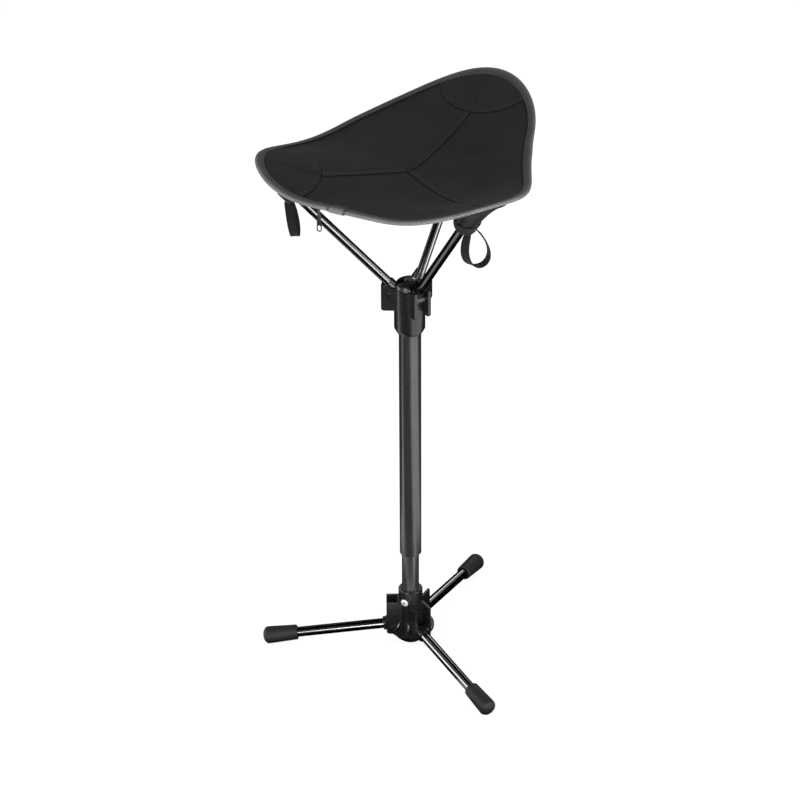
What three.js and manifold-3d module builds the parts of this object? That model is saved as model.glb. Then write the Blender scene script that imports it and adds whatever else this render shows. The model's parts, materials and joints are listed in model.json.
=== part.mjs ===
// Collapsible telescopic stool: tripod base, two-tube post, three-armed hub and three-cornered sling seat.
// Lengths are in millimetres and angles in degrees. Z is up; the origin is on the post's axis at the ground.
// Legs and arms are drawn in the plane that they swing in, with X outwards, and then turned about the post.

import * as THREE from 'three';
import { mergeVertices } from 'three/addons/utils/BufferGeometryUtils.js';
import Module from 'manifold-3d';

const wasm = await Module();
wasm.setup();

// Sides of the stool: each has a leg, an arm and a seat corner
const SIDE_NAMES = ['left', 'front', 'back'];
const FIRST_SIDE_ANGLE = 180;

// The mast is drawn turned a little on the base, as the twist lock lets it
const MAST_TURN = -3.6;

// Fits
const SEAT_GAP = 0.3;
const RUNNING_GAP = 0.3;
const OVERRUN = 6;

// Facets
const POST_SIDES = 30;
const TUBE_SIDES = 20;
const PIN_SIDES = 12;
const CURVE_STEPS = 6;
const RIM_STEPS = 48;

// Legs
const LEG_SLOPE = 6.2;
const LEG_TUBE_RADIUS = 6.5;
const LEG_TUBE_WALL = 1;
const LEG_TUBE_LENGTH = 164.4;
const LEG_TUBE_START = 3.6;
const LEG_PIN_REACH = 26;
const LEG_PIN_RADIUS = 2.2;
const LEG_KNUCKLE_RADIUS = 8;
const LEG_KNUCKLE_MOUTH = 9;
const LEG_LIP_RADIUS = 8.9;
const LEG_LIP_WIDTH = 2.6;

// Feet
const FOOT_LENGTH = 45;
const FOOT_MOUTH_RADIUS = 9.7;
const FOOT_RADIUS = 11.2;
const FOOT_DOME = 7;
const FOOT_END_WALL = 5;
const FOOT_FLAT = 0.7;
const FOOT_MOUTH_EDGE = 1.2;

// Lower hub
const LOWER_FLOOR = 1.8;
const LOWER_DISC_RADIUS = 24.5;
const FLANGE_RADIUS = 30.5;
const FLANGE_LIFT = 5.5;
const FLANGE_THICKNESS = 3.5;
const LOWER_COLLAR_RADIUS = 15.5;
const LOWER_COLLAR_ABOVE_PIN = 55;
const LOWER_COLLAR_CHAMFER = 1.4;
const LOWER_EAR_REACH = 31;
const LOWER_EAR_ABOVE_PIN = 37;
const LOWER_EAR_ROUNDING = 4;
const LOWER_CHEEK = 3.3;
const LOWER_SLOT_BACK = 1.2;
const SOCKET_FLOOR_ABOVE_PIN = 6;
const RIB_THICKNESS = 2.2;
const RIB_SPREAD = 21;
const RIB_ABOVE_PIN = 34;
const RIB_REACH = 28.5;

// Bottom cup
const CUP_SOLE_RADIUS = 5;
const CUP_BULGE_RADIUS = 17;
const CUP_BULGE_HEIGHT = 5;

// Screw in the upper hub
const SCREW_RADIUS = 1.8;
const SCREW_HEAD_HEIGHT = 1.8;
const SCREW_CROSS_WIDTH = 1;
const SCREW_CROSS_DEPTH = 1;
const HUB_SCREW_HEAD_RADIUS = 3.6;
const HUB_SCREW_LENGTH = 28;
const HUB_SCREW_RECESS = 2.2;

// Collar rivet
const RIVET_RADIUS = 2;
const RIVET_HEAD_RADIUS = 5;
const RIVET_HEAD_HEIGHT = 1.8;
const RIVET_EDGE_HEIGHT = 0.6;
const RIVET_DIMPLE_RADIUS = 0.8;
const RIVET_DIMPLE_DEPTH = 0.7;
const RIVET_LENGTH = 8;
const RIVET_BELOW_TOP = 15;

// Post tubes
const INNER_TUBE_RADIUS = 11;
const INNER_TUBE_WALL = 1.5;
const INNER_TUBE_SHOWING = 55;
const INNER_TUBE_OVERLAP = 242;
const OUTER_TUBE_LENGTH = 367;
const OUTER_TUBE_RADIUS = 14;
const OUTER_TUBE_WALL = 1.7;
const RIDGE_HEIGHT = 0.6;
const RIDGE_HALF_ANGLE = 17;
const RIDGE_FLANK_ANGLE = 5;

// Guide bush and tube plug
const BUSH_LENGTH = 22;
const PLUG_LENGTH = 18;

// Post lock
const LOCK_PLUG_LENGTH = 20;
const LOCK_SHOULDER = 3;
const LOCK_STEM_RADIUS = 3;
const LOCK_CONE_RADIUS = 7.5;
const LOCK_CONE_LENGTH = 16;
const LOCK_SLEEVE_LENGTH = 26;
const LOCK_SPLIT_WIDTH = 2;

// Upper hub
const UPPER_SOCKET_DEPTH = 43.5;
const UPPER_HUB_RADIUS = 19;
const UPPER_HUB_WEB = 20;
const UPPER_CHAMFER = 3.2;
const UPPER_CHAMFER_HEIGHT = 6;
const DECK_EDGE = 1;
const DECK_CROWN = 8.5;
const BOSS_RADIUS = 6;
const UPPER_EAR_REACH = 34;
const UPPER_EAR_BELOW_PIN = 22;
const UPPER_EAR_FLARE = 5;
const UPPER_EAR_ROUNDING = 3.5;
const UPPER_CHEEK = 3.7;
const UPPER_SLOT_BACK = 0.7;

// Arms: each stops at the same rise, and sags a little where the sling is slack
const ARM_STOP_RISE = 52.2;
const ARM_SAGS = [5.7, 0.7, 0];
const ARM_TUBE_RADIUS = 5.5;
const ARM_TUBE_WALL = 1;
const ARM_TUBE_START = 6.5;
const ARM_PIN_REACH = 25;
const ARM_PIN_BELOW_DECK = 8;
const ARM_PIN_RADIUS = 2;
const ARM_OFFSET = 8;
const ARM_DOME_REACH = 150.6;
const BARREL_RADIUS = 7;
const BARREL_MOUTH = 9;
const BARREL_INNER = 30;
const BARREL_FLOOR_BELOW_PIN = 5.3;
const LUG_RADIUS = 4.6;
const ARM_CAP_RADIUS = 7;
const ARM_CAP_LENGTH = 18;
const ARM_CAP_END_WALL = 3;

// Pins
const PIN_SINK = 0.5;

// Seat: an even three-cornered rim, and how far the slack sling strays from it to the side and in height
const SEAT_CORNER_OVERHANG = 41.5;
const SEAT_WAIST_RADIUS = 146.2;
const SEAT_CORNER_RISE = 35.2;
const SEAT_WAIST_RISE = 12;
const SEAT_SHIFT = -4.4;
const SEAT_SIDE_SHIFT = -5.2;
const SEAT_STRETCH = -8.4;
const SEAT_LEAN = -17.5;
const SEAT_SIDE_LEAN = -0.8;
const SEAT_SAG = -4.4;
const SEAT_SIDE_SAG = 4.9;
const PANEL_THICKNESS = 2.4;
const RIM_PLAN_POWER = 1.2;
const RIM_RISE_POWER = 2.6;
const SLING_POWER = 2.4;
const PANEL_RINGS = 8;
const BINDING_WIDTH = 9;
const BINDING_THICKNESS = 1.1;

// Corner pockets
const POCKET_LENGTHS = [49, 26, 34];
const POCKET_MOUTH_RADIUS = 12;
const POCKET_HALF_WIDTH = 33;
const POCKET_SEAM_BEHIND_DOME = 20;
const POCKET_SEAM_DROPS = [0.6, 0.5, 1.2];
const POCKET_EDGE_INSET = 1.5;
const POCKET_CLOTH = 1.2;
const POCKET_SIDES = 24;
const POCKET_RINGS = 7;
const POCKET_BOW_SHARE = 0.95;

// Pull loops
const STRAP_WIDTH = 10;
const STRAP_THICKNESS = 1.4;
const LOOP_HEIGHT = 45;
const LOOP_RADIUS = 16;
const LOOP_NECK = 4;
const LOOP_OFFSETS = [0, 6, 0];

// Zip
const ZIP_ANGLE = 40;
const ZIP_INSET = 10;
const ZIP_TAPE_WIDTH = 12;
const ZIP_TAPE_THICKNESS = 1;
const ZIP_HALF_SPREAD = 16;
const ZIP_TAPE_STEPS = 8;
const SLIDER_LENGTH = 9;
const SLIDER_WIDTH = 7;
const SLIDER_HEIGHT = 3;
const SLIDER_EAR_THICKNESS = 1.2;
const SLIDER_PIN_RADIUS = 0.8;
const PULLER_WIDTH = 4.2;
const PULLER_THICKNESS = 1.4;
const PULLER_HEAD_RADIUS = 1.7;
const PULLER_LENGTH = 33;
const PULLER_EYE_LENGTH = 9;
const PULLER_EYE_RADIUS = 1.1;

// Colours and finishes
const FINISHES = {
  plastic: { color: 0x1b1b1d, roughness: 0.55, metalness: 0 },
  glossyTube: { color: 0x0b0b0c, roughness: 0.18, metalness: 0.6 },
  outerTube: { color: 0x3a3b3d, roughness: 0.4, metalness: 0.7 },
  innerTube: { color: 0x5b5c5e, roughness: 0.35, metalness: 0.8 },
  rubber: { color: 0x161616, roughness: 0.85, metalness: 0 },
  steel: { color: 0xc9cacc, roughness: 0.25, metalness: 1 },
  lockPlastic: { color: 0xd8d8d4, roughness: 0.5, metalness: 0 },
  seatCloth: { color: 0x151516, roughness: 0.95, metalness: 0 },
  bindingTape: { color: 0x2c2d30, roughness: 0.9, metalness: 0 },
  webbing: { color: 0x1d1e20, roughness: 0.9, metalness: 0 },
  zipMetal: { color: 0x101011, roughness: 0.35, metalness: 0.8 },
};

const toRadians = THREE.MathUtils.degToRad;
const QUARTER = Math.PI / 2;
const SIDE_ANGLES = SIDE_NAMES.map((name, index) => FIRST_SIDE_ANGLE + (index * 360) / SIDE_NAMES.length);
const SECTOR_ANGLES = SIDE_ANGLES.map((angle) => angle + 180 / SIDE_NAMES.length);

// Solids: three.js geometry goes in and comes out, and the joins and cuts are made in between

function signedVolume(position, index) {
  const a = new THREE.Vector3();
  const b = new THREE.Vector3();
  const c = new THREE.Vector3();
  let sum = 0;
  for (let i = 0; i < index.length; i += 3) {
    a.fromBufferAttribute(position, index[i]);
    b.fromBufferAttribute(position, index[i + 1]);
    c.fromBufferAttribute(position, index[i + 2]);
    sum += a.dot(b.cross(c));
  }
  return sum;
}

function solidOf(geometry) {
  const bare = geometry.clone();
  bare.deleteAttribute('normal');
  bare.deleteAttribute('uv');
  const merged = mergeVertices(bare);
  const corners = merged.index.array;
  const triangles = [];
  for (let i = 0; i < corners.length; i += 3) {
    const [a, b, c] = [corners[i], corners[i + 1], corners[i + 2]];
    if (a !== b && b !== c && c !== a) triangles.push(a, b, c);
  }
  if (signedVolume(merged.attributes.position, triangles) < 0) triangles.reverse();
  const mesh = new wasm.Mesh({
    numProp: 3,
    vertProperties: new Float32Array(merged.attributes.position.array),
    triVerts: new Uint32Array(triangles),
  });
  return new wasm.Manifold(mesh);
}

function geometryOf(solid) {
  const mesh = solid.getMesh();
  const geometry = new THREE.BufferGeometry();
  geometry.setAttribute('position', new THREE.BufferAttribute(new Float32Array(mesh.vertProperties), 3));
  geometry.setIndex([...mesh.triVerts]);
  geometry.computeVertexNormals();
  return geometry;
}

function join(...geometries) {
  return geometryOf(geometries.map(solidOf).reduce((sum, next) => sum.add(next)));
}

function cut(geometry, ...tools) {
  return geometryOf(tools.map(solidOf).reduce((rest, tool) => rest.subtract(tool), solidOf(geometry)));
}

// A profile of [radius, height] points turned about Z
function revolve(profile, sides = TUBE_SIDES) {
  const points = profile.map(([radius, height]) => new THREE.Vector2(radius, height));
  return new THREE.LatheGeometry(points, sides).rotateX(QUARTER);
}

function disc(radius, bottom, top, sides = TUBE_SIDES) {
  return revolve([[0, bottom], [radius, bottom], [radius, top], [0, top]], sides);
}

function ring(inner, outer, bottom, top, sides = TUBE_SIDES) {
  return revolve([[inner, bottom], [outer, bottom], [outer, top], [inner, top], [inner, bottom]], sides);
}

// The same shapes lying along X or across along Y
function alongX(geometry) {
  return geometry.rotateY(QUARTER);
}

function acrossY(radius, width, sides = TUBE_SIDES) {
  return disc(radius, -width / 2, width / 2, sides).rotateX(QUARTER);
}

// A shape drawn in the swing plane, X outwards and Y up on the page, given a width across it
function plate(shape, width) {
  const geometry = new THREE.ExtrudeGeometry(shape, {
    depth: width,
    bevelEnabled: false,
    curveSegments: CURVE_STEPS,
  });
  return join(geometry.rotateX(QUARTER).translate(0, width / 2, 0));
}

function polygon(points) {
  return new THREE.Shape(points.map(([x, y]) => new THREE.Vector2(x, y)));
}

function turned(geometry, angle) {
  return geometry.clone().rotateZ(toRadians(angle));
}

// A closed skin through rows of points, each row a closed ring, wrapped round in both directions
function closedGrid(rows) {
  const across = rows[0].length;
  const position = rows.flat().flatMap((point) => point.toArray());
  const index = [];
  rows.forEach((row, i) => {
    const next = (i + 1) % rows.length;
    row.forEach((point, j) => {
      const right = (j + 1) % across;
      const [a, b, c, d] = [i * across + j, i * across + right, next * across + right, next * across + j];
      index.push(a, b, c, a, c, d);
    });
  });
  const geometry = new THREE.BufferGeometry();
  geometry.setAttribute('position', new THREE.Float32BufferAttribute(position, 3));
  geometry.setIndex(index);
  return geometryOf(solidOf(geometry));
}

// Pieces

const stool = new THREE.Group();

function addPiece(name, geometry, finish, parent = stool) {
  const piece = new THREE.Mesh(geometry, new THREE.MeshStandardMaterial(FINISHES[finish]));
  piece.name = name;
  parent.add(piece);
}

function sideGroup(angle, parent = stool) {
  const group = new THREE.Group();
  group.rotation.z = toRadians(angle);
  parent.add(group);
  return group;
}

// A pin along Y, its ends sunk a little in the cheeks of an ear
function pivotPin(radius, earWidth) {
  return acrossY(radius, earWidth - 2 * PIN_SINK, PIN_SIDES);
}

// A cross-head screw pointing down, with the underside of its head at zero
function crossScrew(headRadius, length) {
  const head = disc(headRadius, 0, SCREW_HEAD_HEIGHT);
  const shank = disc(SCREW_RADIUS, -length, SCREW_HEAD_HEIGHT / 2, PIN_SIDES);
  const slot = new THREE.BoxGeometry(headRadius, SCREW_CROSS_WIDTH, 2 * SCREW_CROSS_DEPTH);
  slot.translate(0, 0, SCREW_HEAD_HEIGHT);
  return cut(join(head, shank), slot, slot.clone().rotateZ(QUARTER));
}

// Base: heights come from the feet, which stand on the ground

const footTipReach = LEG_TUBE_LENGTH - LEG_TUBE_START + FOOT_END_WALL;
const footRestReach = footTipReach - FOOT_DOME;
const legPinHeight =
  (FOOT_RADIUS - FOOT_FLAT) / Math.cos(toRadians(LEG_SLOPE)) + footRestReach * Math.sin(toRadians(LEG_SLOPE));
const legSlotHalf = LEG_KNUCKLE_RADIUS + RUNNING_GAP;
const cupTop = legPinHeight - legSlotHalf - LOWER_FLOOR;
const lowerCollarTop = legPinHeight + LOWER_COLLAR_ABOVE_PIN;
const lowerEarTop = legPinHeight + LOWER_EAR_ABOVE_PIN;
const lowerEarWidth = 2 * (legSlotHalf + LOWER_CHEEK);
const socketFloor = legPinHeight + SOCKET_FLOOR_ABOVE_PIN;
const rivetHeight = lowerCollarTop - RIVET_BELOW_TOP;
const legDrop = Math.tan(toRadians(LEG_SLOPE));

// The leg's own frame: X from the pin out along the leg
function placeOnLeg(geometry) {
  return geometry.rotateY(toRadians(LEG_SLOPE)).translate(LEG_PIN_REACH, 0, legPinHeight);
}

function legSlot() {
  const back = LOWER_COLLAR_RADIUS + LOWER_SLOT_BACK;
  const end = LOWER_EAR_REACH + OVERRUN;
  const top = lowerEarTop + OVERRUN;
  const outline = polygon([
    [back, legPinHeight],
    [LEG_PIN_REACH, legPinHeight],
    [end, legPinHeight - (end - LEG_PIN_REACH) * legDrop],
    [end, top],
    [back, top],
  ]);
  const trough = placeOnLeg(alongX(disc(legSlotHalf, 0, end - LEG_PIN_REACH)));
  const heel = acrossY(legSlotHalf, 2 * legSlotHalf).translate(LEG_PIN_REACH, 0, legPinHeight);
  return join(plate(outline, 2 * legSlotHalf), trough, heel);
}

function lowerEar() {
  const outer = LOWER_EAR_REACH;
  const corner = LOWER_EAR_ROUNDING;
  const shape = new THREE.Shape();
  shape.moveTo(INNER_TUBE_RADIUS, cupTop);
  shape.lineTo(outer - corner, cupTop);
  shape.absarc(outer - corner, cupTop + corner, corner, -QUARTER, 0, false);
  shape.lineTo(outer, lowerEarTop);
  shape.lineTo(INNER_TUBE_RADIUS, lowerEarTop);
  return plate(shape, lowerEarWidth);
}

function gussetRib(flangeTop) {
  const shape = new THREE.Shape();
  shape.moveTo(INNER_TUBE_RADIUS, flangeTop - FLANGE_THICKNESS);
  shape.lineTo(RIB_REACH, flangeTop - FLANGE_THICKNESS);
  shape.lineTo(RIB_REACH, flangeTop);
  shape.quadraticCurveTo(LOWER_COLLAR_RADIUS, flangeTop, LOWER_COLLAR_RADIUS, legPinHeight + RIB_ABOVE_PIN);
  shape.lineTo(INNER_TUBE_RADIUS, legPinHeight + RIB_ABOVE_PIN);
  return plate(shape, RIB_THICKNESS);
}

function lowerHub() {
  const flangeBottom = cupTop + FLANGE_LIFT;
  const flangeTop = flangeBottom + FLANGE_THICKNESS;
  const body = revolve(
    [
      [0, cupTop],
      [LOWER_DISC_RADIUS, cupTop],
      [FLANGE_RADIUS, flangeBottom],
      [FLANGE_RADIUS, flangeTop],
      [LOWER_COLLAR_RADIUS, flangeTop],
      [LOWER_COLLAR_RADIUS, lowerCollarTop - LOWER_COLLAR_CHAMFER],
      [LOWER_COLLAR_RADIUS - LOWER_COLLAR_CHAMFER, lowerCollarTop],
      [0, lowerCollarTop],
    ],
    POST_SIDES,
  );
  const ears = SIDE_ANGLES.map((angle) => turned(lowerEar(), angle));
  const ribs = SECTOR_ANGLES.flatMap((angle) =>
    [-RIB_SPREAD, RIB_SPREAD].map((offset) => turned(gussetRib(flangeTop), angle + offset)),
  );
  const slots = SIDE_ANGLES.map((angle) => turned(legSlot(), angle));
  const pinHole = acrossY(LEG_PIN_RADIUS + SEAT_GAP, lowerEarWidth + OVERRUN, PIN_SIDES).translate(
    LEG_PIN_REACH,
    0,
    legPinHeight,
  );
  const pinHoles = SIDE_ANGLES.map((angle) => turned(pinHole, angle));
  const bore = disc(INNER_TUBE_RADIUS + SEAT_GAP, socketFloor, lowerCollarTop + OVERRUN, POST_SIDES);
  return cut(join(body, ...ears, ...ribs), ...slots, ...pinHoles, bore, rivetHole(), rivetSpotFace());
}

// The rivet's place, for geometry drawn along Z with the rivet's shank pointing down
function placeOnCollar(geometry) {
  return turned(alongX(geometry).translate(0, 0, rivetHeight), SECTOR_ANGLES[0]);
}

function rivetHole() {
  const hole = disc(RIVET_RADIUS + SEAT_GAP, 0, LOWER_COLLAR_RADIUS + OVERRUN, PIN_SIDES);
  return placeOnCollar(hole);
}

function rivetSpotFace() {
  const face = disc(RIVET_HEAD_RADIUS + SEAT_GAP, LOWER_COLLAR_RADIUS, LOWER_COLLAR_RADIUS + OVERRUN);
  return placeOnCollar(face);
}

function collarRivet() {
  const rivet = revolve([
    [0, -RIVET_LENGTH],
    [RIVET_RADIUS, -RIVET_LENGTH],
    [RIVET_RADIUS, 0],
    [RIVET_HEAD_RADIUS, 0],
    [RIVET_HEAD_RADIUS, RIVET_EDGE_HEIGHT],
    [(RIVET_HEAD_RADIUS + RIVET_DIMPLE_RADIUS) / 2, RIVET_HEAD_HEIGHT],
    [RIVET_DIMPLE_RADIUS, RIVET_HEAD_HEIGHT],
    [0, RIVET_HEAD_HEIGHT - RIVET_DIMPLE_DEPTH],
  ]);
  return placeOnCollar(rivet.translate(0, 0, LOWER_COLLAR_RADIUS + SEAT_GAP));
}

function bottomCup() {
  const curve = new THREE.QuadraticBezierCurve(
    new THREE.Vector2(CUP_SOLE_RADIUS, 0),
    new THREE.Vector2(CUP_BULGE_RADIUS, CUP_BULGE_HEIGHT),
    new THREE.Vector2(LOWER_DISC_RADIUS, cupTop - SEAT_GAP),
  );
  const wall = curve.getPoints(CURVE_STEPS).map((point) => [point.x, point.y]);
  return revolve([[0, 0], ...wall, [0, cupTop - SEAT_GAP]], POST_SIDES);
}

const innerTubeBottom = socketFloor + SEAT_GAP;
const outerTubeBottom = lowerCollarTop + INNER_TUBE_SHOWING;
const innerTubeTop = outerTubeBottom + INNER_TUBE_OVERLAP;

function innerTube() {
  const bore = INNER_TUBE_RADIUS - INNER_TUBE_WALL;
  const tube = ring(bore, INNER_TUBE_RADIUS, innerTubeBottom, innerTubeTop, POST_SIDES);
  return cut(tube, rivetHole());
}

addPiece('lower_hub', lowerHub(), 'plastic');
addPiece('bottom_cup', bottomCup(), 'plastic');
addPiece('inner_tube', innerTube(), 'innerTube');
addPiece('collar_rivet', collarRivet(), 'steel');

// Legs

function legTube() {
  const end = LEG_TUBE_LENGTH - LEG_TUBE_START;
  const tube = alongX(ring(LEG_TUBE_RADIUS - LEG_TUBE_WALL, LEG_TUBE_RADIUS, -LEG_TUBE_START, end));
  const hole = acrossY(LEG_PIN_RADIUS + SEAT_GAP, 2 * LEG_TUBE_RADIUS + OVERRUN, PIN_SIDES);
  return placeOnLeg(cut(tube, hole));
}

function legKnuckle() {
  const width = 2 * LEG_KNUCKLE_RADIUS;
  const heel = acrossY(LEG_KNUCKLE_RADIUS, width);
  const barrel = alongX(disc(LEG_KNUCKLE_RADIUS, 0, LEG_KNUCKLE_MOUTH));
  const lip = alongX(disc(LEG_LIP_RADIUS, LEG_KNUCKLE_MOUTH - LEG_LIP_WIDTH, LEG_KNUCKLE_MOUTH));
  const sideCut = new THREE.BoxGeometry(LEG_LIP_RADIUS + OVERRUN, width, 2 * LEG_LIP_RADIUS + OVERRUN);
  const flats = [-1, 1].map((side) => sideCut.clone().translate(LEG_KNUCKLE_MOUTH, side * width, 0));
  const boreRadius = LEG_TUBE_RADIUS + SEAT_GAP;
  const bore = alongX(disc(boreRadius, -LEG_TUBE_START - SEAT_GAP, LEG_KNUCKLE_MOUTH + OVERRUN));
  const hole = acrossY(LEG_PIN_RADIUS + SEAT_GAP, width + OVERRUN, PIN_SIDES);
  return placeOnLeg(cut(join(heel, barrel, cut(lip, ...flats)), bore, hole));
}

function legFoot() {
  const mouth = footTipReach - FOOT_LENGTH;
  const shoulder = footTipReach - FOOT_DOME;
  const dome = new THREE.EllipseCurve(0, shoulder, FOOT_RADIUS, FOOT_DOME, 0, QUARTER);
  const tip = dome.getPoints(CURVE_STEPS).map((point) => [point.x, point.y]);
  const outside = [
    [FOOT_MOUTH_RADIUS - FOOT_MOUTH_EDGE, mouth],
    [FOOT_MOUTH_RADIUS, mouth + FOOT_MOUTH_EDGE],
    ...tip,
  ];
  outside[outside.length - 1][0] = 0;
  const cap = alongX(revolve([[0, mouth], ...outside]));
  const end = LEG_TUBE_LENGTH - LEG_TUBE_START + SEAT_GAP;
  const bore = alongX(disc(LEG_TUBE_RADIUS + SEAT_GAP, mouth - OVERRUN, end));
  const ground = new THREE.BoxGeometry(2 * FOOT_LENGTH, 2 * FOOT_LENGTH, FOOT_LENGTH);
  ground.translate(LEG_PIN_REACH + footRestReach, 0, -FOOT_LENGTH / 2);
  return cut(placeOnLeg(cut(cap, bore)), ground);
}

SIDE_NAMES.forEach((name, index) => {
  const group = sideGroup(SIDE_ANGLES[index]);
  addPiece(`leg_tube_${name}`, legTube(), 'glossyTube', group);
  addPiece(`leg_knuckle_${name}`, legKnuckle(), 'plastic', group);
  addPiece(`leg_foot_${name}`, legFoot(), 'rubber', group);
  const pin = pivotPin(LEG_PIN_RADIUS, lowerEarWidth).translate(LEG_PIN_REACH, 0, legPinHeight);
  addPiece(`leg_pin_${name}`, pin, 'steel', group);
});

// Post lock: a core fixed in the inner tube, and a split sleeve that its cone spreads against the outer tube

const outerTubeBore = OUTER_TUBE_RADIUS - OUTER_TUBE_WALL;
const lockShoulderTop = innerTubeTop + SEAT_GAP + LOCK_SHOULDER;
const sleeveBottom = lockShoulderTop + SEAT_GAP;
const sleeveTop = sleeveBottom + LOCK_SLEEVE_LENGTH;
const coneBottom = sleeveTop - LOCK_CONE_LENGTH;

function lockCore() {
  const plug = INNER_TUBE_RADIUS - INNER_TUBE_WALL - SEAT_GAP;
  return revolve(
    [
      [0, innerTubeTop - LOCK_PLUG_LENGTH],
      [plug, innerTubeTop - LOCK_PLUG_LENGTH],
      [plug, innerTubeTop + SEAT_GAP],
      [INNER_TUBE_RADIUS, innerTubeTop + SEAT_GAP],
      [INNER_TUBE_RADIUS, lockShoulderTop],
      [LOCK_STEM_RADIUS, lockShoulderTop],
      [LOCK_STEM_RADIUS, coneBottom],
      [LOCK_CONE_RADIUS, sleeveTop],
      [0, sleeveTop],
    ],
    TUBE_SIDES,
  );
}

function lockSleeve() {
  const outer = outerTubeBore - RUNNING_GAP;
  const sleeve = revolve(
    [
      [LOCK_STEM_RADIUS + RUNNING_GAP, sleeveBottom],
      [outer, sleeveBottom],
      [outer, sleeveTop],
      [LOCK_CONE_RADIUS + RUNNING_GAP, sleeveTop],
      [LOCK_STEM_RADIUS + RUNNING_GAP, coneBottom],
      [LOCK_STEM_RADIUS + RUNNING_GAP, sleeveBottom],
    ],
    TUBE_SIDES,
  );
  const split = new THREE.BoxGeometry(2 * outer, LOCK_SPLIT_WIDTH, LOCK_SLEEVE_LENGTH + OVERRUN);
  split.translate(outer, 0, (sleeveBottom + sleeveTop) / 2);
  return cut(sleeve, split);
}

addPiece('lock_core', lockCore(), 'lockPlastic');
addPiece('lock_sleeve', lockSleeve(), 'lockPlastic');

// Mast, which carries the arms and the seat

const mast = sideGroup(MAST_TURN);
const outerTubeTop = outerTubeBottom + OUTER_TUBE_LENGTH;
const hubBottom = outerTubeTop + SEAT_GAP - UPPER_SOCKET_DEPTH;
const deckHeight = outerTubeTop + SEAT_GAP + UPPER_HUB_WEB;
const armPinHeight = deckHeight - ARM_PIN_BELOW_DECK;
const armSlotHalf = BARREL_RADIUS + RUNNING_GAP;
const upperEarWidth = 2 * (armSlotHalf + UPPER_CHEEK);
const barrelFloor = armPinHeight - BARREL_FLOOR_BELOW_PIN;
const crownHeight = deckHeight + DECK_CROWN;

// The outer tube is round inside, with three broad ridges outside, between the arms
function outerTube() {
  const valley = OUTER_TUBE_RADIUS - RIDGE_HEIGHT;
  const outline = [];
  SECTOR_ANGLES.forEach((angle) => {
    const crest = RIDGE_HALF_ANGLE - RIDGE_FLANK_ANGLE;
    const next = 360 / SIDE_NAMES.length - RIDGE_HALF_ANGLE;
    const places = [
      [-RIDGE_HALF_ANGLE, valley],
      [-crest, OUTER_TUBE_RADIUS],
      [0, OUTER_TUBE_RADIUS],
      [crest, OUTER_TUBE_RADIUS],
      [RIDGE_HALF_ANGLE, valley],
    ];
    for (let step = 1; step < CURVE_STEPS; step += 1) {
      places.push([RIDGE_HALF_ANGLE + ((next - RIDGE_HALF_ANGLE) * step) / CURVE_STEPS, valley]);
    }
    places.forEach(([offset, radius]) => {
      const turn = toRadians(angle + offset);
      outline.push([radius * Math.cos(turn), radius * Math.sin(turn)]);
    });
  });
  const shape = polygon(outline);
  const bar = new THREE.ExtrudeGeometry(shape, { depth: OUTER_TUBE_LENGTH, bevelEnabled: false });
  bar.translate(0, 0, outerTubeBottom);
  const bore = disc(outerTubeBore, outerTubeBottom - OVERRUN, outerTubeTop + OVERRUN, POST_SIDES);
  return cut(bar, bore);
}

function upperEar() {
  const bottom = armPinHeight - UPPER_EAR_BELOW_PIN;
  const corner = UPPER_EAR_ROUNDING;
  const shape = new THREE.Shape();
  shape.moveTo(OUTER_TUBE_RADIUS + SEAT_GAP, bottom);
  shape.lineTo(UPPER_EAR_REACH - corner, bottom);
  shape.absarc(UPPER_EAR_REACH - corner, bottom + corner, corner, -QUARTER, 0, false);
  shape.lineTo(UPPER_EAR_REACH, deckHeight + UPPER_EAR_FLARE);
  shape.lineTo(UPPER_HUB_RADIUS - DECK_EDGE, deckHeight - DECK_EDGE);
  shape.lineTo(OUTER_TUBE_RADIUS + SEAT_GAP, deckHeight - DECK_EDGE);
  return plate(shape, upperEarWidth);
}

function armSlot() {
  const inner = BOSS_RADIUS + SEAT_GAP;
  const back = UPPER_HUB_RADIUS + UPPER_SLOT_BACK;
  const end = UPPER_EAR_REACH + OVERRUN;
  const top = crownHeight + OVERRUN;
  const bottom = armPinHeight - UPPER_EAR_BELOW_PIN - OVERRUN;
  const outline = polygon([
    [inner, barrelFloor],
    [back, barrelFloor],
    [back, bottom],
    [end, bottom],
    [end, top],
    [inner, top],
  ]);
  return plate(outline, 2 * armSlotHalf);
}

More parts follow.
